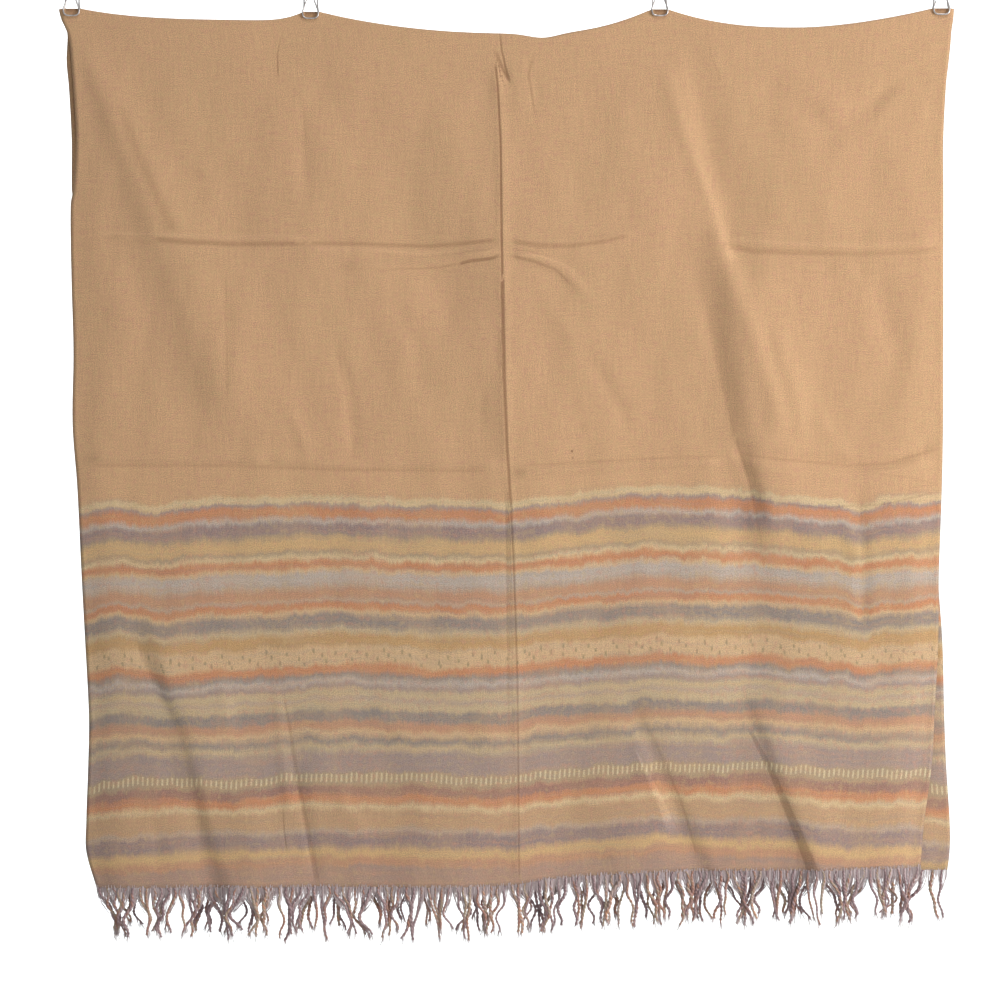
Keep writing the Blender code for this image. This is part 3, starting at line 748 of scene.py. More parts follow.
def finish_sheet(name, mesh, places, column, row, above_hem, lines, slip=0.0):
    """Places the points, adds the pattern's map and gives the sheet its thickness."""
    set_points(mesh, places)
    set_number(mesh, "level", pattern_level(places[:, 0], above_hem) + slip)
    for kind, courses in lines.items():
        offset, rim, dark = line_marks(courses, places[:, 0], -places[:, 2])
        set_number(mesh, kind + "_offset", offset)
        set_number(mesh, kind + "_rim", rim)
        set_number(mesh, kind + "_dark", dark)
    corners = np.zeros(len(mesh.loops), np.int32)
    mesh.loops.foreach_get("vertex_index", corners)
    weave = np.stack([column_shares[column] * CLOTH_WIDTH, above_hem], axis=-1)
    layer = mesh.uv_layers.new(name="weave")
    layer.data.foreach_set("uv", weave[corners].astype(np.float32).ravel())
    mesh.shade_smooth()
    sheet = bpy.data.objects.new(name, mesh)
    bpy.context.scene.collection.objects.link(sheet)
    thickness = sheet.modifiers.new("thickness", "SOLIDIFY")
    thickness.thickness = CLOTH_THICKNESS
    thickness.offset = 0.0
    thickness.use_even_offset = True
    print(name, "quads:", len(mesh.polygons))
    return sheet


def fall_stations(start, finish, step):
    """Shares of the way down a layer, from its hem up, for its rows of points."""
    drops = stations(start, finish, step, row_zones, CREASE_ROW_STEP)
    return ((drops - start) / (finish - start))[::-1]


FRONT_FALL_MM = (50, 976)
front_shares = fall_stations(FRONT_FALL_MM[0] * MM, FRONT_FALL_MM[1] * MM, FRONT_ROW_STEP)
# The three stretches share their end rows, and rows of faces are one fewer than rows of points
front_row_count = len(front_shares) + len(FOLD_ANGLES) + len(REAR_SHARES) - 3
mesh, column, row = sheet_mesh("stole_front", len(column_shares) - 1, front_row_count)
front_places = front_place(column_shares[column], front_shares, row)
front_length = along_cloth(mesh, front_places, column, row)
stole_front = finish_sheet(
    "stole_front", mesh, front_places, column, row, front_length, FRONT_LINES_MM
)

# %% [markdown]
# The back layer is a second sheet, from its own hem up to the seam. Its stripes hang a
# little lower. Smooth shading rounds off the rim of a sheet, which shows as a line along
# the seam. A very short row of faces on each side of the seam keeps that line thin.

# %% Weave the back sheet
BACK_FALL_MM = (74, 970)
BACK_SLIP = 14 * MM
SEAM_ROW_SHARE = 0.0005
back_shares = fall_stations(BACK_FALL_MM[0] * MM, BACK_FALL_MM[1] * MM, BACK_ROW_STEP)
back_shares = np.insert(back_shares, len(back_shares) - 1, SEAM_ROW_SHARE)
mesh, column, row = sheet_mesh("stole_back", len(column_shares) - 1, len(back_shares) - 1)
share = column_shares[column]
crest = fold_centre(share)[0]
hem = hem_drop("back", across_at("back", share, HEMS_MM[0].front * MM))
drop = blend(crest + FOLD_LEG, hem, back_shares[row])
back_places = layer_place("back", share, drop, drop - crest)
back_length = along_cloth(mesh, back_places, column, row)
stole_back = finish_sheet(
    "stole_back", mesh, back_places, column, row, back_length, BACK_LINES_MM, BACK_SLIP
)
mesh.flip_normals()

# %% [markdown]
# ## Shader sums written as Python
#
# A woven finish is mostly arithmetic on coordinates. Wiring Math nodes by hand hides it,
# so a small class stands for a node's output and turns Python's own signs into Math
# nodes. Every other node comes from one method that takes the node's type, its settings
# and the values of its sockets.

# %% A socket that can be added, multiplied and compared
class Value:
    def __init__(self, finish, link):
        self.finish = finish
        self.link = link

    def math(self, operation, *others):
        values = dict(enumerate((self, *others)))
        return self.finish.node("ShaderNodeMath", {"operation": operation}, values)

    def __add__(self, other):
        return self.math("ADD", other)

    def __radd__(self, other):
        return self.math("ADD", other)

    def __sub__(self, other):
        return self.math("SUBTRACT", other)

    def __rsub__(self, other):
        return self.math("MULTIPLY_ADD", -1.0, other)

    def __mul__(self, other):
        return self.math("MULTIPLY", other)

    def __rmul__(self, other):
        return self.math("MULTIPLY", other)

    def __truediv__(self, other):
        return self.math("DIVIDE", other)

    def __pow__(self, other):
        return self.math("POWER", other)

    def __abs__(self):
        return self.math("ABSOLUTE")

    def sine(self):
        return self.math("SINE")

    def fraction(self):
        return self.math("FRACT")

    def rise(self, low, high):
        """Goes smoothly from 0 at low to 1 at high."""
        settings = {"interpolation_type": "SMOOTHSTEP"}
        values = {"Value": self, "From Min": low, "From Max": high}
        return self.finish.node("ShaderNodeMapRange", settings, values)

    def near(self, middle, half_width, softness):
        """1 within a half width of the middle, and 0 outside it."""
        return 1 - abs(self - middle).rise(half_width - softness, half_width + softness)


Grain = namedtuple("Grain", "rates detail")
WARM_SHADE = (0.92, 1.04, 1.12)


class Finish:
    """A material and the few calls that build its nodes."""

    def __init__(self, name, roughness, metallic=0.0, sheen=0.0, specular=0.5):
        self.material = bpy.data.materials.new(name)
        self.material.use_nodes = True
        self.tree = self.material.node_tree
        self.shader = self.tree.nodes["Principled BSDF"]
        self.shader.inputs["Roughness"].default_value = roughness
        self.shader.inputs["Metallic"].default_value = metallic
        self.shader.inputs["Sheen Weight"].default_value = sheen
        self.shader.inputs["Specular IOR Level"].default_value = specular

    def node(self, kind, settings=None, values=None, output=0):
        made = self.tree.nodes.new(kind)
        for name, setting in (settings or {}).items():
            if name == "stops":
                self.set_stops(made.color_ramp, setting)
            else:
                setattr(made, name, setting)
        for key, value in (values or {}).items():
            if isinstance(value, Value):
                self.tree.links.new(value.link, made.inputs[key])
            else:
                made.inputs[key].default_value = value
        return Value(self, made.outputs[output])

    def set_stops(self, ramp, stops):
        while len(ramp.elements) > 1:
            ramp.elements.remove(ramp.elements[-1])
        for index, (position, color) in enumerate(stops):
            stop = ramp.elements[0] if index == 0 else ramp.elements.new(position)
            stop.position = position
            stop.color = color

    def put(self, socket, value):
        self.tree.links.new(value.link, self.shader.inputs[socket])

    def place(self):
        return self.node("ShaderNodeTexCoord", output="Object")

    def map(self, name):
        return self.node("ShaderNodeUVMap", {"uv_map": name})

    def number(self, name):
        return self.node("ShaderNodeAttribute", {"attribute_name": name}, output="Fac")

    def parts(self, vector):
        split = self.node("ShaderNodeSeparateXYZ", values={0: vector}).link.node
        return [Value(self, output) for output in split.outputs]

    def scaled(self, vector, scale):
        return self.node("ShaderNodeVectorMath", {"operation": "MULTIPLY"}, {0: vector, 1: scale})

    def noise(self, vector, grain):
        """Noise with its own rate each way, in cells to a metre, around 0.5."""
        values = {"Vector": self.scaled(vector, grain.rates), "Scale": 1.0, "Detail": grain.detail}
        return self.node("ShaderNodeTexNoise", values=values)

    def mix(self, share, low, high):
        """Mix of two colours: node sockets 6 and 7 are its colour sockets."""
        settings = {"data_type": "RGBA", "clamp_factor": True}
        return self.node("ShaderNodeMix", settings, {0: share, 6: low, 7: high}, output=2)

    def toned(self, color, tone):
        """A colour made lighter or darker by a number around 1."""
        grey = self.node("ShaderNodeCombineXYZ", values={0: tone, 1: tone, 2: tone})
        return self.node("ShaderNodeVectorMath", {"operation": "MULTIPLY"}, {0: color, 1: grey})

    def shaded(self, color, shade):
        """A colour in shade, which is warm in cloth: the threads pass more red than blue."""
        left = {axis: 1 - shade * share for axis, share in enumerate(WARM_SHADE)}
        light = self.node("ShaderNodeCombineXYZ", values=left)
        return self.node("ShaderNodeVectorMath", {"operation": "MULTIPLY"}, {0: color, 1: light})

    def bump(self, height):
        """Surface relief from a height in metres."""
        values = {"Height": height, "Distance": 1.0, "Strength": 1.0}
        self.put("Normal", self.node("ShaderNodeBump", values=values))


def dye(code):
    """A colour from its usual six-figure screen code."""
    channels = [int(code[i : i + 2], 16) / 255 for i in (0, 2, 4)]
    linear = [c / 12.92 if c <= 0.04045 else ((c + 0.055) / 1.055) ** 2.4 for c in channels]
    return (*linear, 1.0)


# %% [markdown]
# ## The dyed stripes
#
# The cross stripes are woven, not printed: each band is some picks of weft in one
# colour, over a warp that was dyed in patches first. That is why every edge is feathered into
# fine vertical streaks. The chart below lists the bands from the hem upwards, in
# millimetres, with the small gaps between them as the blurred changes of colour. A noise
# that is stretched along the warp shifts the level a little before the chart is read.

# %% Yarn colours
YARNS = {
    "sand tan": dye("C59C75"),
    "cream": dye("CFB58C"),
    "khaki": dye("BDA785"),
    "peach": dye("CAA982"),
    "gold": dye("C8A474"),
    "brown ochre": dye("BA9362"),
    "brown tan": dye("B89471"),
    "olive tan": dye("A89174"),
    "rust": dye("C0825C"),
    "brown rust": dye("B88A6C"),
    "plum brown": dye("997264"),
    "brown mauve": dye("A78776"),
    "plum mauve": dye("907B77"),
    "grey mauve": dye("9C8880"),
    "grey sand": dye("B29B87"),
    "pale grey": dye("B4A69A"),
    "slate": dye("8D8179"),
}

Band = namedtuple("Band", "low high yarn")
BANDS_MM = [
    Band(0, 13, "brown mauve"),
    Band(17, 21, "brown rust"),
    Band(27, 31, "gold"),
    Band(39, 49, "plum mauve"),
    Band(53, 55, "grey sand"),
    Band(60, 74, "brown tan"),
    Band(79, 82, "cream"),
    Band(87, 91, "rust"),
    Band(96, 102, "plum brown"),
    Band(106, 117, "olive tan"),
    Band(121, 138, "grey mauve"),
    Band(145, 148, "khaki"),
    Band(153, 155, "slate"),
    Band(162, 165, "peach"),
    Band(169, 173, "brown rust"),
    Band(178, 185, "slate"),
    Band(190, 194, "khaki"),
    Band(197, 200, "grey sand"),
    Band(203, 207, "khaki"),
    Band(211, 213, "grey mauve"),
    Band(217, 220, "pale grey"),
    Band(224, 226, "slate"),
    Band(230, 234, "rust"),
    Band(239, 254, "peach"),
    Band(259, 266, "brown ochre"),
    Band(271, 274, "khaki"),
    Band(279, 287, "slate"),
    Band(292, 294, "peach"),
    Band(297, 301, "rust"),
    Band(304, 305, "grey sand"),
    Band(308, 314, "brown rust"),
    Band(318, 321, "grey sand"),
    Band(325, 332, "pale grey"),
    Band(336, 338, "peach"),
    Band(341, 345, "rust"),
    Band(349, 351, "cream"),
    Band(354, 356, "olive tan"),
    Band(360, 368, "gold"),
    Band(372, 373, "olive tan"),
    Band(377, 384, "plum mauve"),
    Band(388, 390, "pale grey"),
    Band(395, 401, "rust"),
    Band(405, 406, "grey mauve"),
    Band(409, 413, "cream"),
    Band(417, 440, "sand tan"),
]
NARROW_BAND_MM = 3.5
CHART_PARTS = [(0, 11), (11, 23), (23, 34), (34, 44)]
PART_JOIN = 0.5 * MM


def band_stops(bands, start, finish):
    """Ramp stops for some bands: one for a narrow band and two for a wide one."""
    stops = []
    for band in bands:
        narrow = band.high - band.low < NARROW_BAND_MM
        levels = [(band.low + band.high) / 2] if narrow else [band.low, band.high]
        stops += [((level - start) / (finish - start), YARNS[band.yarn]) for level in levels]
    return stops


def stripe_color(finish, level):
    """The chart's colour at a level in metres, from ramps laid end to end."""
    color = None
    for first, last in CHART_PARTS:
        bands = BANDS_MM[first : last + 1]
        start = bands[0].low
        end = bands[-1].high
        share = (level - start * MM) / ((end - start) * MM)
        stops = band_stops(bands, start, end)
        ramp = finish.node("ShaderNodeValToRGB", {"stops": stops}, {0: share})
        middle = (bands[0].low + bands[0].high) / 2 * MM
        past = level.rise(middle - PART_JOIN, middle + PART_JOIN)
        color = ramp if color is None else finish.mix(past, color, ramp)
    return color


# %% [markdown]
# Two small figures break the stripes. A row of pale teeth, each a few picks high, runs
# near the hem. Higher up, three staggered rows of dark dashes lie on the pale peach band.
# Both are read from the distance across and the level, so they bend with the weft.

# %% Teeth and dashes
TOOTH_PITCH = 5.6 * MM
TOOTH_MIDDLE = 113 * MM
TOOTH_HALF_WIDTH = 1.0 * MM
TOOTH_HALF_HEIGHT = 4.4 * MM
TOOTH_STRENGTH = 0.85
DASH_PITCH = 26 * MM
DASH_LEVELS = (240.5 * MM, 245.5 * MM, 250.5 * MM)
DASH_SCATTER = 9 * MM
DASH_HALF_WIDTH = 1.2 * MM
DASH_HALF_HEIGHT = 2.2 * MM
DASH_STRENGTH = 0.66
ROW_CHANCE_STEP = 0.37
TICK_SIDE_BLUR = 0.5 * MM
TICK_END_BLUR = 1.0 * MM
TICK_RAGGEDNESS = 5 * MM
TOOTH_DYE = dye("D3C39E")
DASH_DYE = dye("857A58")


def tick_mask(across, level, pitch, half_width, middle, half_height):
    """1 on short upright marks that repeat across the cloth."""
    beside = (across / pitch).fraction() * pitch
    upright = beside.near(pitch / 2, half_width, TICK_SIDE_BLUR)
    return upright * level.near(middle, half_height, TICK_END_BLUR)


def figured(finish, color, across, level, ragged):
    """Lays the teeth and the dashes over the stripes."""
    ragged_level = level + ragged * TICK_RAGGEDNESS
    teeth = tick_mask(
        across, ragged_level, TOOTH_PITCH, TOOTH_HALF_WIDTH, TOOTH_MIDDLE, TOOTH_HALF_HEIGHT
    )
    color = finish.mix(TOOTH_STRENGTH * teeth, color, TOOTH_DYE)
    for order, middle in enumerate(DASH_LEVELS):
        cell = (across / DASH_PITCH + order / len(DASH_LEVELS)).math("FLOOR")
        chance = finish.node(
            "ShaderNodeTexWhiteNoise",
            {"noise_dimensions": "1D"},
            {"W": cell + order * ROW_CHANCE_STEP},
        )
        shifted = across + order / len(DASH_LEVELS) * DASH_PITCH + (chance - 0.5) * DASH_SCATTER
        dashes = tick_mask(
            shifted, ragged_level, DASH_PITCH, DASH_HALF_WIDTH, middle, DASH_HALF_HEIGHT
        )
        color = finish.mix(DASH_STRENGTH * dashes, color, DASH_DYE)
    return color


# %% [markdown]
# ## The cloth's finish
#
# Seen from a step away the cloth is matt, with a faint glow at glancing angles from its
# raised fibres. That is sheen, set once on the shader. Close up it is a plain weave: warp
# and weft cross about every half millimetre, and each thread has its own thickness and
# shade. The weave is drawn from the cloth's own map, so it follows every fold.

# %% Finish of the woven cloth
THREAD_PITCH = 0.62 * MM
THREAD_HEIGHT = 0.05 * MM
LINE_DEPTH = 0.7 * MM
SELVEDGE = 2.4 * MM
FEATHER_FINE = 9 * MM
FEATHER_BROAD = 6 * MM
WEFT_WAVE = 13 * MM
STRIPES_TOP = (416 * MM, 424 * MM)
CLOTH_ROUGHNESS = 0.88
ROUGHNESS_MOTTLE = 0.12
WARP_SHADE = 0.28
WEFT_SHADE = 0.2
MOTTLE_SHADE = 1.15
CLOUD_SHADE = 0.07
SELVEDGE_SHADE = 0.16
FIBRE_HEIGHT = 0.05 * MM
DYE_SHARE = 0.75

FINE_GRAIN = Grain((1150.0, 90.0, 1.0), 2.0)
BROAD_GRAIN = Grain((210.0, 22.0, 1.0), 3.0)
WAVE_GRAIN = Grain((42.0, 26.0, 1.0), 2.0)
PICK_GRAIN = Grain((1.0, 1.0, 1.0), 2.0)
PICK_RATES = (7.0, 300.0)
PATCH_GRAIN = Grain((30.0, 16.0, 1.0), 2.0)
WARP_GRAIN = Grain((800.0, 30.0, 1.0), 2.0)
WEFT_GRAIN = Grain((30.0, 800.0, 1.0), 2.0)
MOTTLE_GRAIN = Grain((900.0, 900.0, 1.0), 1.0)
DYE_GRAIN = Grain((180.0, 160.0, 1.0), 4.0)
CLOUD_GRAIN = Grain((11.0, 9.0, 1.0), 3.0)

Tint = namedtuple("Tint", "low high share color")
WARM_PICKS = Tint(0.45, 0.7, 0.34, dye("BC9472"))
GREY_PICKS = Tint(0.45, 0.7, 0.3, dye("93857B"))
TAN_PATCHES = Tint(0.4, 0.7, 0.22, dye("BE9B75"))
PINK_DYE = Tint(0.5, 0.68, 0.4, dye("C08C74"))
YELLOW_DYE = Tint(0.5, 0.68, 0.34, dye("C2A576"))

Stain = namedtuple("Stain", "across drop radius darkness")
FRONT_STAINS_MM = [
    Stain(71.0, 512.5, 1.9, 0.672),
    Stain(71.6, 519.5, 1.4, 0.544),
    Stain(112.0, 951.0, 4.5, 0.16),
    Stain(84.0, 486.0, 7.0, 0.08),
    Stain(-330.0, 214.0, 9.0, 0.064),
]
STAIN_CORE = 0.4
STAIN_DYE = dye("6E4A34")


def stained(finish, color, stains):
    """Small spots of old spill, by their places on the hanging cloth."""
    x, _, z = finish.parts(finish.place())
    for stain in stains:
        beside = x - stain.across * MM
        under = z + stain.drop * MM
        away = (beside * beside + under * under) ** 0.5
        spot = 1 - away.rise(STAIN_CORE * stain.radius * MM, stain.radius * MM)
        color = finish.mix(spot * stain.darkness, color, STAIN_DYE)
    return color


def tinted(finish, color, mask, tint, where=1.0):
    """A colour mixed with a tint where the mask is high."""
    return finish.mix(mask.rise(tint.low, tint.high) * where * tint.share, color, tint.color)


def cloth_finish(name, stains):
    finish = Finish(name, roughness=CLOTH_ROUGHNESS, sheen=0.25, specular=0.22)
    finish.shader.inputs["Sheen Roughness"].default_value = 0.55
    weave = finish.map("weave")
    across, along, _ = finish.parts(weave)

    # Stripes, with edges that feather along the warp
    fine = finish.noise(weave, FINE_GRAIN) - 0.5
    broad = finish.noise(weave, BROAD_GRAIN) - 0.5
    wavy = finish.noise(weave, WAVE_GRAIN) - 0.5
    level = finish.number("level") + wavy * WEFT_WAVE
    feathered = level + fine * FEATHER_FINE + broad * FEATHER_BROAD
    color = stripe_color(finish, feathered)
    color = figured(finish, color, across, level, fine)

    # Single picks and patches of another shade within the stripes
    banded = finish.node(
        "ShaderNodeCombineXYZ", values={0: across * PICK_RATES[0], 1: feathered * PICK_RATES[1]}
    )
    picks = finish.noise(banded, PICK_GRAIN)
    striped = 1 - level.rise(*STRIPES_TOP)
    color = tinted(finish, color, picks, WARM_PICKS, striped)
    color = tinted(finish, color, 1 - picks, GREY_PICKS, striped)
    color = tinted(finish, color, finish.noise(weave, PATCH_GRAIN), TAN_PATCHES, striped)

    # Uneven dye and threads all over the cloth
    warp = finish.noise(weave, WARP_GRAIN) - 0.5
    weft = finish.noise(weave, WEFT_GRAIN) - 0.5
    mottle = finish.noise(weave, MOTTLE_GRAIN) - 0.5
    cloud = finish.noise(weave, CLOUD_GRAIN)
    patchy = finish.noise(weave, DYE_GRAIN) * DYE_SHARE + cloud * (1 - DYE_SHARE)
    color = tinted(finish, color, patchy, PINK_DYE)
    color = tinted(finish, color, 1 - patchy, YELLOW_DYE)
    tone = 1 + warp * WARP_SHADE + weft * WEFT_SHADE + mottle * MOTTLE_SHADE
    tone = tone + (cloud - 0.5) * CLOUD_SHADE
    edge = 1 - across.rise(0.0, SELVEDGE) + across.rise(CLOTH_WIDTH - SELVEDGE, CLOTH_WIDTH)
    tone = tone - edge * SELVEDGE_SHADE

    # Painted shade along the sharp creases, and painted highlight where their darkness is below zero
    shadow = 0.0
    for kind in ("upright", "level"):
        beyond = abs(finish.number(kind + "_offset")) - finish.number(kind + "_rim")
        shadow = (1 - beyond.rise(-1.0, 1.0)) * finish.number(kind + "_dark") + shadow
    color = finish.shaded(finish.toned(stained(finish, color, stains), tone), shadow)

    # Relief of the threads and of the lines
    threads_across = (across * (math.pi / THREAD_PITCH)).sine()
    threads_along = (along * (math.pi / THREAD_PITCH)).sine()
    height = threads_across * threads_along * THREAD_HEIGHT
    height = height + (warp + weft + mottle) * FIBRE_HEIGHT - shadow * LINE_DEPTH
    finish.bump(height)
    finish.put("Base Color", color)
    finish.put("Roughness", CLOTH_ROUGHNESS + mottle * ROUGHNESS_MOTTLE)
    return finish.material


stole_front.data.materials.append(cloth_finish("striped_stole_weave", FRONT_STAINS_MM))
stole_back.data.materials.append(cloth_finish("striped_stole_weave_back", []))

# %% [markdown]
# ## The fringe
#
# The fringe is the cloth's own warp, left loose at both ends and twisted in small
# bundles. At the hem the warp threads of a bundle spread out like a fan. They draw
# together within about 20 mm into a two-ply twist, which ends in a few frayed hairs. The
# bundles lean on each other in groups, as they do on a stole that has been worn.
#
# One short tube, multiplied by an Array, serves for every thread. Each copy is then bent
# along its own line, so thousands of threads cost a few lines of code.

# %% Lay many tubes along their own lines
def thread_mesh(name, lines, radii, sides):
    """One closed tube for each line: lines are (thread, spot, xyz), radii (thread, spot)."""
    count, spots = lines.shape[:2]
    form = bmesh.new()
    bmesh.ops.create_cone(form, cap_ends=True, segments=sides, radius1=0.4, radius2=0.4, depth=1.0)
    rings = spots - 2
    uprights = [edge for edge in form.edges if abs(edge.verts[0].co.z - edge.verts[1].co.z) > 0.5]
    bmesh.ops.subdivide_edges(form, edges=uprights, cuts=rings, use_grid_fill=True)
    template = bpy.data.meshes.new(name + "_tube")
    form.to_mesh(template)
    form.free()
    row = bpy.data.objects.new(name + "_row", template)
    bpy.context.scene.collection.objects.link(row)
    repeat = row.modifiers.new("copies", "ARRAY")
    repeat.count = count
    repeat.use_relative_offset = False
    repeat.use_constant_offset = True
    repeat.constant_offset_displace = (1.0, 0.0, 0.0)
    evaluated = row.evaluated_get(bpy.context.evaluated_depsgraph_get())
    mesh = bpy.data.meshes.new_from_object(evaluated)
    mesh.name = name
    bpy.data.objects.remove(row)
    flat = np.zeros(len(mesh.vertices) * 3, np.float32)
    mesh.vertices.foreach_get("co", flat)
    flat = flat.reshape(-1, 3)
    thread = np.rint(flat[:, 0]).astype(int)
    spot = np.rint((0.5 - flat[:, 2]) * (spots - 1)).astype(int)
    angle = np.arctan2(flat[:, 1], flat[:, 0] - thread)

    run = np.gradient(lines, axis=1)
    run /= np.linalg.norm(run, axis=2, keepdims=True)
    sideways = np.cross(run, np.array([0.0, 1.0, 0.0]))
    sideways /= np.linalg.norm(sideways, axis=2, keepdims=True)
    outward = np.cross(sideways, run)
    radius = radii[thread, spot][:, None]
    places = lines[thread, spot]
    places = places + radius * np.cos(angle)[:, None] * sideways[thread, spot]
    places = places + radius * np.sin(angle)[:, None] * outward[thread, spot]
    set_points(mesh, places)
    return mesh, thread, spot


# %% Bundles of the fringe
STRAND_LENGTH = 51 * MM
STRAND_LENGTH_SPREAD = 7 * MM
CLUMP_PULL = 0.66
CLUMP_LEAN = 5 * MM
CLUMP_DEPTH = 1.5 * MM
PLY_RADIUS = 1.08 * MM
TWIST_TURN = 7.5 * MM
PLY_CONTRAST = 0.35
FAN_LENGTH = 19 * MM
FAN_THREADS = 17
FAN_RADIUS = 0.34 * MM
FRAY_HAIRS = 9
FRAY_LENGTH = 12 * MM
FRAY_SPREAD = 3.6 * MM
FRINGE_OVERLAP = 3.5 * MM
FAN_DEPTH = 0.6 * MM
FAN_LOOSENESS = 0.8 * MM
BOW = 3.4 * MM
KINK = 2.2 * MM
CROSSING = 6.0 * MM
BULGE = 1.2 * MM
STRAND_SPOTS = 26
FAN_SPOTS = 7
FRAY_SPOTS = 6
PLY_SIDES = 5
HAIR_SIDES = 3


def strand_clumps(count, draw):
    """For each bundle, its group's middle and lean, with three to six in a group."""
    clumps = []
    while len(clumps) < count:
        size = min(draw.randint(3, 6), count - len(clumps))
        middle = len(clumps) + (size - 1) / 2
        lean = draw.uniform(-CLUMP_LEAN, CLUMP_LEAN)
        clumps += [(middle, lean)] * size
    return clumps


def hem_line(side, shares):
    """Points along the middle of a sheet's lower edge."""
    hem = hem_drop(side, across_at(side, shares, np.full_like(shares, HEMS_MM[0].front * MM)))
    crest = fold_centre(shares)[0]
    return layer_place(side, shares, hem, hem - crest)


def strand_lines(side, count, draw, spots):
    """The middle line of every bundle, from the hem to its tip."""
    t = np.linspace(0.0, 1.0, spots)
    shares = (np.arange(count) + 0.5) / count
    roots = hem_line(side, shares)
    pitch = (roots[-1, 0] - roots[0, 0]) / (count - 1)
    lines = np.zeros((count, spots, 3))
    for index, (middle, lean) in enumerate(strand_clumps(count, draw)):
        length = STRAND_LENGTH + draw.uniform(-1, 1) * STRAND_LENGTH_SPREAD
        depth = draw.uniform(-1, 1) * CLUMP_DEPTH
        gather = draw.uniform(0.8, 1.2) * CLUMP_PULL * (middle - index) * pitch
        bow = draw.uniform(-1, 1) * BOW
        kink = draw.uniform(-1, 1) * KINK
        cross = draw.uniform(-1, 1) * CROSSING
        parting = draw.uniform(0.1, 0.5) * ease(t, 0.7, 1.0)
        sideways = gather * (ease(t, 0.05, 0.72) - parting) + lean * t**2 + cross * ease(t, 0.55, 1.0)
        sideways = sideways + bow * np.sin(math.pi * t) + kink * np.sin(2 * math.tau * t)
        lines[index, :, 0] = roots[index, 0] + sideways
        bulge = draw.uniform(-1, 1) * BULGE
        lines[index, :, 1] = roots[index, 1] + depth * t + bulge * np.sin(math.pi * t)
        lines[index, :, 2] = roots[index, 2] - length * t
    return lines


def plied(lines, draw):
    """Two plies wound round each other along every line."""
    count, spots = lines.shape[:2]
    t = np.linspace(0.0, 1.0, spots)
    pairs = np.repeat(lines, 2, axis=0)
    taper = blend(1.0, 0.72, ease(t, 0.7, 1.0)) * blend(0.7, 1.0, ease(t, 0.0, 0.35))
    start = np.array([draw.uniform(0, math.tau) for _ in range(count)]).repeat(2)
    start[1::2] += math.pi
    turns = STRAND_LENGTH / TWIST_TURN * np.array([draw.uniform(0.8, 1.2) for _ in range(count)])
    angle = start[:, None] + math.tau * turns.repeat(2)[:, None] * t[None, :]
    thickness = np.array([draw.uniform(0.8, 1.25) for _ in range(count)]).repeat(2)
    radii = PLY_RADIUS * thickness[:, None] * taper[None, :]
    pairs[:, :, 0] += radii * 0.92 * np.cos(angle)
    pairs[:, :, 1] += radii * 0.92 * np.sin(angle)
    return pairs, radii


def fanned(side, lines, draw, spots):
    """Loose warp threads that draw together from the hem into each bundle."""
    count = len(lines) * FAN_THREADS
    t = np.linspace(0.0, 1.0, spots)
    roots = hem_line(side, np.array([(i + draw.uniform(0.2, 0.8)) / count for i in range(count)]))
    fans = np.zeros((count, spots, 3))
    for index, root in enumerate(roots):
        reach = FAN_LENGTH * draw.uniform(0.7, 1.5)
        line = lines[index // FAN_THREADS]
        depth_along = np.minimum(reach * t, line[0, 2] - line[-1, 2])
        across = np.interp(depth_along, line[0, 2] - line[:, 2], line[:, 0])
        depth = np.interp(depth_along, line[0, 2] - line[:, 2], line[:, 1])
        close = ease(t, 0.25, draw.uniform(1.05, 1.5))
        overlap = FRINGE_OVERLAP * draw.random()
        front = draw.uniform(-1, 1) * FAN_DEPTH
        fans[index, :, 0] = blend(root[0], across + draw.uniform(-1, 1) * FAN_LOOSENESS, close)
        loose_depth = depth + draw.uniform(-1, 1) * FAN_LOOSENESS
        fans[index, :, 1] = blend(root[1] + front, loose_depth, close)
        fans[index, :, 2] = root[2] + overlap - (reach + overlap) * t
    return fans, np.full((count, spots), FAN_RADIUS)


def frayed(lines, draw, spots):
    """Hairs that part at the tip of each bundle."""
    count = len(lines)
    t = np.linspace(0.0, 1.0, spots)
    hairs = np.zeros((count * FRAY_HAIRS, spots, 3))
    for index in range(count * FRAY_HAIRS):
        line = lines[index // FRAY_HAIRS]
        tip = line[-1]
        start = tip + (line[-4] - line[-1]) * draw.uniform(0.3, 1.6)
        length = FRAY_LENGTH * draw.uniform(0.5, 1.0)
        lean = (tip - line[-4])[0] * 0.6
        spread = draw.uniform(-1, 1) * FRAY_SPREAD
        hairs[index, :, 0] = start[0] + (lean + spread) * t**1.4
        hairs[index, :, 1] = start[1] + draw.uniform(-1, 1) * FRAY_SPREAD * 0.5 * t
        hairs[index, :, 2] = start[2] - length * t
    radii = np.outer(np.full(len(hairs), FAN_RADIUS), blend(1.15, 0.5, t))
    return hairs, radii


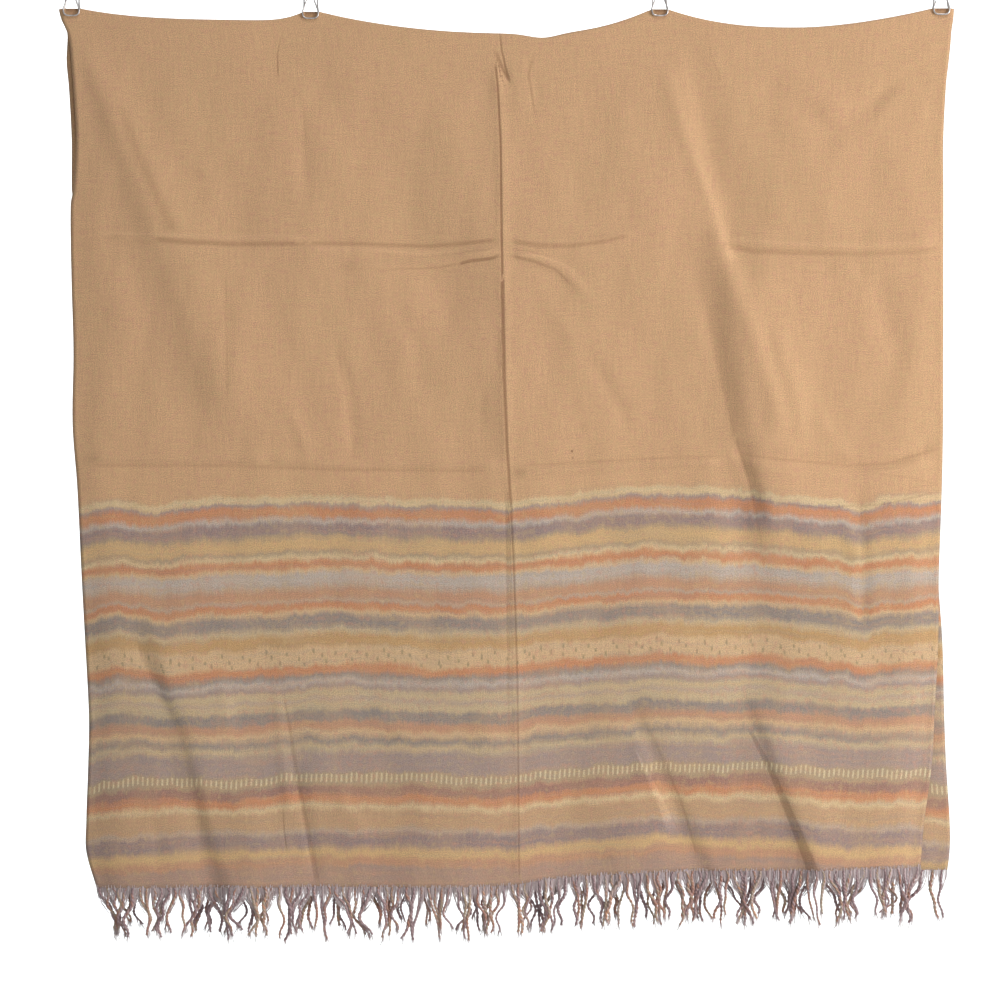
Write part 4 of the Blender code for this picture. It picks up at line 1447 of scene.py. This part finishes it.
def spin_fringe(name, side, count, seed):
    """The whole fringe of one end as a single piece."""
    draw = random.Random(seed)
    lines = strand_lines(side, count, draw, STRAND_SPOTS)
    parts = [
        (*plied(lines, draw), PLY_SIDES),
        (*fanned(side, lines, draw, FAN_SPOTS), HAIR_SIDES),
        (*frayed(lines, draw, FRAY_SPOTS), HAIR_SIDES),
    ]
    pieces = []
    for order, (tubes, radii, sides) in enumerate(parts):
        mesh, thread, spot = thread_mesh(f"{name}_{order}", tubes, radii, sides)
        shade = np.array([draw.random() for _ in range(len(tubes))])
        if order == 0:
            shade[1::2] = blend(shade[0::2], shade[1::2], PLY_CONTRAST)
        set_number(mesh, "shade", shade[thread])
        # How far down the thread, and 1 or 2 more for loose threads and frayed tips
        set_number(mesh, "down", spot / (tubes.shape[1] - 1) + order)
        mesh.shade_smooth()
        piece = bpy.data.objects.new(mesh.name, mesh)
        bpy.context.scene.collection.objects.link(piece)
        pieces.append(piece)
    with bpy.context.temp_override(active_object=pieces[0], selected_editable_objects=pieces):
        bpy.ops.object.join()
    fringe = pieces[0]
    fringe.name = name
    print(name, "triangles:", sum(len(face.vertices) - 2 for face in fringe.data.polygons))
    return fringe


# %% Spin both fringes
FRONT_STRANDS = 120
BACK_STRANDS = 84
FRONT_SEED = 11
BACK_SEED = 23

front_fringe = spin_fringe("front_fringe_yarn", "front", FRONT_STRANDS, FRONT_SEED)
back_fringe = spin_fringe("back_fringe_yarn", "back", BACK_STRANDS, BACK_SEED)

# %% [markdown]
# The bundles aren't one colour. The warp was dyed in patches, so some threads are grey
# plum, some brown rust and a few pale tan. Loose threads and frayed tips are paler. Every
# thread carries its own random number, and the finish reads its colour from that.

# %% Finish of the yarn
FRINGE_DYES = [
    (0.00, dye("7C6869")),
    (0.22, dye("93797A")),
    (0.42, dye("A68F90")),
    (0.56, dye("A87B69")),
    (0.70, dye("AE9C88")),
    (0.82, dye("BAA39D")),
    (0.93, dye("BF8E72")),
    (1.00, dye("CDA98C")),
]
LOOSE_DYE = dye("CBBDBE")
LOOSE_SHARE = 0.7
YARN_SPREAD = 0.75
YARN_START = 0.12
PATCH_SPREAD = 0.7
FIBRE_SHADE = 0.5
YARN_FIBRE_HEIGHT = 0.12 * MM
YARN_PATCH_GRAIN = Grain((90.0, 60.0, 60.0), 2.0)
YARN_FIBRE_GRAIN = Grain((1800.0, 1800.0, 300.0), 2.0)


def yarn_finish(name):
    finish = Finish(name, roughness=0.9, sheen=0.2, specular=0.2)
    place = finish.place()
    shade = finish.number("shade")
    down = finish.number("down")
    patch = finish.noise(place, YARN_PATCH_GRAIN) - 0.5
    yarn = shade * YARN_SPREAD + patch * PATCH_SPREAD + YARN_START
    color = finish.node("ShaderNodeValToRGB", {"stops": FRINGE_DYES}, {0: yarn})
    loose = down.rise(0.98, 1.0)
    color = finish.mix(loose * LOOSE_SHARE, color, LOOSE_DYE)
    fibre = finish.noise(place, YARN_FIBRE_GRAIN) - 0.5
    finish.put("Base Color", finish.toned(color, 1 + fibre * FIBRE_SHADE))
    finish.bump(fibre * YARN_FIBRE_HEIGHT)
    return finish.material


yarn_material = yarn_finish("twisted_warp_yarn")
for fringe in (front_fringe, back_fringe):
    fringe.data.materials.clear()
    fringe.data.materials.append(yarn_material)

# %% [markdown]
# ## The wire clips
#
# Each clip is bent from drawn steel wire in three pieces: a back jaw that ends in the
# hanging eye, a front jaw whose arms close in over the spring, and the coil spring. The
# solids give their lines. A curve object with a round bevel draws them smoothly.

# %% Sizes of a clip
WIRE_RADIUS = 0.9 * MM
JAW_HALF_WIDTH = 8.5 * MM
JAW_TOP = 34 * MM
JAW_BOTTOM = 41.1 * MM
JAW_OFFSET = 3.0 * MM
JAW_SQUARENESS = 0.62
ARM_HALF_WIDTH = 7.5 * MM
ARM_START = 28 * MM
EYE_RADIUS = 7.5 * MM
EYE_LEAN_START = 13 * MM
SPRING_DROP = 17 * MM
SPRING_RADIUS = 2.2 * MM
SPRING_LENGTH = 13 * MM
SPRING_WIRE = 0.5 * MM
SPRING_TURNS = 9
FRONT_ARM_OFFSET = 3.4 * MM
FRONT_ARM_START = 31 * MM
FRONT_ARM_TOP = 13.5 * MM
FRONT_ARM_HALF_WIDTH = 1.5 * MM
ARC_STEPS = 16
WIRE_STEPS = 4
COIL_STEPS = 10
WIRE_ROUNDNESS = 4
WELD_REACH = 0.001 * MM


def jaw_arc(offset):
    """The rounded lower end of a jaw, from its right shoulder to its left one."""
    points = []
    for step in range(ARC_STEPS + 1):
        angle = math.pi * step / ARC_STEPS
        drop = blend(JAW_TOP, JAW_BOTTOM, math.sin(angle) ** JAW_SQUARENESS)
        across = math.copysign(abs(math.cos(angle)) ** JAW_SQUARENESS, math.cos(angle))
        points.append(Vector((JAW_HALF_WIDTH * across, offset, -drop)))
    return points


def back_jaw_path():
    """Jaw, two straight arms and the half round hanging eye at the top."""
    points = jaw_arc(JAW_OFFSET)
    for drop in (ARM_START, EYE_LEAN_START):
        points.append(Vector((-ARM_HALF_WIDTH, JAW_OFFSET, -drop)))
    for step in range(ARC_STEPS + 1):
        angle = math.pi * (1 - step / ARC_STEPS)
        drop = WIRE_RADIUS + EYE_RADIUS * (1 - math.sin(angle))
        depth = JAW_OFFSET * float(ease(drop, 0.0, EYE_LEAN_START))
        points.append(Vector((EYE_RADIUS * math.cos(angle), depth, -drop)))
    for drop in (EYE_LEAN_START, ARM_START):
        points.append(Vector((ARM_HALF_WIDTH, JAW_OFFSET, -drop)))
    return points


def front_jaw_path():
    """Jaw, two arms that close in over the spring and a small rounded end."""
    points = jaw_arc(-JAW_OFFSET)
    top_turn = FRONT_ARM_TOP + FRONT_ARM_HALF_WIDTH
    points.append(Vector((-ARM_HALF_WIDTH, -JAW_OFFSET, -FRONT_ARM_START)))
    points.append(Vector((-FRONT_ARM_HALF_WIDTH, -FRONT_ARM_OFFSET, -top_turn)))
    for degrees in (135, 90, 45):
        angle = math.radians(degrees)
        across = FRONT_ARM_HALF_WIDTH * math.cos(angle)
        drop = top_turn - FRONT_ARM_HALF_WIDTH * math.sin(angle)
        points.append(Vector((across, -FRONT_ARM_OFFSET, -drop)))
    points.append(Vector((FRONT_ARM_HALF_WIDTH, -FRONT_ARM_OFFSET, -top_turn)))
    points.append(Vector((ARM_HALF_WIDTH, -JAW_OFFSET, -FRONT_ARM_START)))
    return points


def spring_path():
    """Coils of the spring, as an open helix from left to right."""
    points = []
    steps = SPRING_TURNS * COIL_STEPS
    coil = SPRING_RADIUS - SPRING_WIRE
    for step in range(steps + 1):
        angle = math.tau * SPRING_TURNS * step / steps
        across = (step / steps - 0.5) * (SPRING_LENGTH - 2 * SPRING_WIRE)
        points.append(Vector((across, coil * math.cos(angle), coil * math.sin(angle) - SPRING_DROP)))
    return points


def rounded(points):
    """More points along a closed path, so that its turns are smooth."""
    smooth = []
    for index, start in enumerate(points):
        before = points[index - 1]
        end = points[(index + 1) % len(points)]
        after = points[(index + 2) % len(points)]
        reach = (end - start).length
        leave = (end - before).normalized() * reach
        arrive = (after - start).normalized() * reach
        for step in range(WIRE_STEPS):
            t = step / WIRE_STEPS
            between = start.lerp(end, t * t * (3 - 2 * t))
            smooth.append(between + leave * (t * (1 - t) ** 2) - arrive * (t * t * (1 - t)))
    return smooth


def draw_wire(name, points, radius, place, closed):
    curve = bpy.data.curves.new(name, "CURVE")
    curve.dimensions = "3D"
    curve.bevel_depth = radius
    curve.bevel_resolution = WIRE_ROUNDNESS
    curve.use_fill_caps = True
    spline = curve.splines.new("POLY")
    spline.points.add(len(points) - 1)
    spline.use_cyclic_u = closed
    for spot, position in zip(spline.points, points):
        spot.co = (*(place + position), 1.0)
    drawn = bpy.data.objects.new(name + "_path", curve)
    bpy.context.scene.collection.objects.link(drawn)
    evaluated = drawn.evaluated_get(bpy.context.evaluated_depsgraph_get())
    mesh = bpy.data.meshes.new_from_object(evaluated)
    bpy.data.objects.remove(drawn)
    mesh.name = name
    form = bmesh.new()
    form.from_mesh(mesh)
    bmesh.ops.remove_doubles(form, verts=form.verts, dist=WELD_REACH)
    form.to_mesh(mesh)
    form.free()
    mesh.shade_smooth()
    wire = bpy.data.objects.new(name, mesh)
    bpy.context.scene.collection.objects.link(wire)
    return wire


# %% Finish of the drawn steel
WEAR_GRAIN = Grain((260.0, 260.0, 90.0), 3.0)
WEAR_DYES = [(0.35, dye("B4ADAA")), (0.7, dye("E4DEDA"))]
STEEL_ROUGHNESS = (0.22, 0.44)
SCRATCH_GRAIN = Grain((2400.0, 2400.0, 500.0), 2.0)
SCRATCH_HEIGHT = 0.02 * MM


def steel_finish(name):
    finish = Finish(name, roughness=0.3, metallic=0.8)
    place = finish.place()
    wear = finish.noise(place, WEAR_GRAIN)
    finish.put("Base Color", finish.node("ShaderNodeValToRGB", {"stops": WEAR_DYES}, {0: wear}))
    finish.put("Roughness", blend(*STEEL_ROUGHNESS, wear))
    finish.bump(finish.noise(place, SCRATCH_GRAIN) * SCRATCH_HEIGHT)
    return finish.material


steel_material = steel_finish("drawn_steel_wire")

# %% Bend the four clips
for number, clip in enumerate(CLIPS_MM, 1):
    place = Vector((clip.across * MM, 0.0, -clip.lowered * MM))
    label = f"clip_{number}_"
    wires = {
        "front_jaw": draw_wire(label + "front_wire", rounded(front_jaw_path()), WIRE_RADIUS, place, True),
        "back_jaw": draw_wire(label + "back_wire", rounded(back_jaw_path()), WIRE_RADIUS, place, True),
        "spring": draw_wire(label + "coil", spring_path(), SPRING_WIRE, place, False),
    }
    for node, wire in wires.items():
        wire.data.materials.clear()
        wire.data.materials.append(steel_material)
        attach(wire, "root")
        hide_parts(label + node)
print("clips bent:", len(CLIPS_MM))

# %% [markdown]
# ## What each piece stands for
#
# Every piece rides on the part's one body, and the solids it stands for are hidden. The
# two sheets stand for the three solids of the cloth.

for piece, slot_name, nodes in (
    (stole_front, "cloth", ["front_fall", "top_fold"]),
    (stole_back, "cloth", ["back_fall"]),
    (front_fringe, "fringe", ["front_fringe"]),
    (back_fringe, "fringe", ["back_fringe"]),
):
    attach(piece, "root")
    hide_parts(*nodes)

# %% [markdown]
# ## Stage, light and camera
#
# The stole hangs in front of a pale sweep, a floor that bends up far behind it, so no
# line crosses the picture. The light is soft and comes mostly from the right, level with
# the cloth, so the right flanks of the folds glow and the left ones sink. A second lamp
# high on the right shows the creases that run across. The camera stands level with the
# middle of the stole, square to it.

# %% Pale sweep
FLOOR_DROP = 1.6
SWEEP_HALF_WIDTH = 7.0
SWEEP_FRONT = -6.0
SWEEP_BACK = 6.0
SWEEP_TOP = 5.0
SWEEP_BEND = 1.6
BEND_STEPS = 16


def pale_sweep():
    corners = [(SWEEP_FRONT, -FLOOR_DROP)]
    for step in range(BEND_STEPS + 1):
        angle = math.pi / 2 * step / BEND_STEPS
        y = SWEEP_BACK - SWEEP_BEND + SWEEP_BEND * math.sin(angle)
        z = -FLOOR_DROP + SWEEP_BEND * (1 - math.cos(angle))
        corners.append((y, z))
    corners.append((SWEEP_BACK, SWEEP_TOP))
    form = bmesh.new()
    verts = [form.verts.new((-SWEEP_HALF_WIDTH, y, z)) for y, z in corners]
    edges = [form.edges.new(pair) for pair in zip(verts, verts[1:])]
    drawn_out = bmesh.ops.extrude_edge_only(form, edges=edges)["geom"]
    moved = [item for item in drawn_out if isinstance(item, bmesh.types.BMVert)]
    bmesh.ops.translate(form, verts=moved, vec=(2 * SWEEP_HALF_WIDTH, 0.0, 0.0))
    mesh = bpy.data.meshes.new("pale_sweep")
    form.to_mesh(mesh)
    form.free()
    mesh.shade_smooth()
    sweep = bpy.data.objects.new("pale_sweep", mesh)
    bpy.context.scene.collection.objects.link(sweep)
    paper = Finish("pale_paper", roughness=0.95, specular=0.1)
    paper.shader.inputs["Base Color"].default_value = dye("F2F4F4")
    mesh.materials.append(paper.material)


pale_sweep()

# %% Soft light from the right and from above
Lamp = namedtuple("Lamp", "name place target size power color")
LAMPS = [
    Lamp("window", (3.0, -1.7, -0.3), (0.0, 0.0, -0.5), 0.8, 89.0, (1.0, 0.99, 0.985)),
    Lamp("skylight", (1.4, -2.6, 3.7), (0.0, 0.0, -0.5), 1.0, 72.0, (0.98, 0.985, 1.0)),
    Lamp("room_fill", (-1.6, -3.2, 0.2), (0.0, 0.0, -0.6), 2.4, 8.0, (1.0, 0.98, 0.96)),
    Lamp("sweep_glow", (0.0, 3.0, 2.4), (0.0, 6.0, 0.0), 4.0, 260.0, (0.97, 0.985, 1.0)),
]
for lamp in LAMPS:
    light = bpy.data.lights.new(lamp.name, "AREA")
    light.shape = "DISK"
    light.size = lamp.size
    light.energy = lamp.power
    light.color = lamp.color
    holder = bpy.data.objects.new(lamp.name, light)
    holder.location = lamp.place
    aim = Vector(lamp.target) - Vector(lamp.place)
    holder.rotation_euler = aim.to_track_quat("-Z", "Y").to_euler()
    bpy.context.scene.collection.objects.link(holder)

ROOM_LIGHT = 0.275
world = bpy.data.worlds.new("pale_room")
world.use_nodes = True
world.node_tree.nodes["Background"].inputs["Color"].default_value = dye("F4F7F9")
world.node_tree.nodes["Background"].inputs["Strength"].default_value = ROOM_LIGHT
bpy.context.scene.world = world
bpy.context.scene.view_settings.view_transform = "Standard"

# %% Camera square to the stole
CAMERA_DISTANCE = 2.4
VIEW_WIDTH = 1.08
VIEW_MIDDLE = (-0.0065, -0.565)

camera_data = bpy.data.cameras.new("camera")
camera_data.angle = 2 * math.atan(VIEW_WIDTH / 2 / CAMERA_DISTANCE)
camera = bpy.data.objects.new("camera", camera_data)
camera.location = (VIEW_MIDDLE[0], -CAMERA_DISTANCE, VIEW_MIDDLE[1])
camera.rotation_euler = (math.pi / 2, 0.0, 0.0)
bpy.context.scene.collection.objects.link(camera)
bpy.context.scene.camera = camera
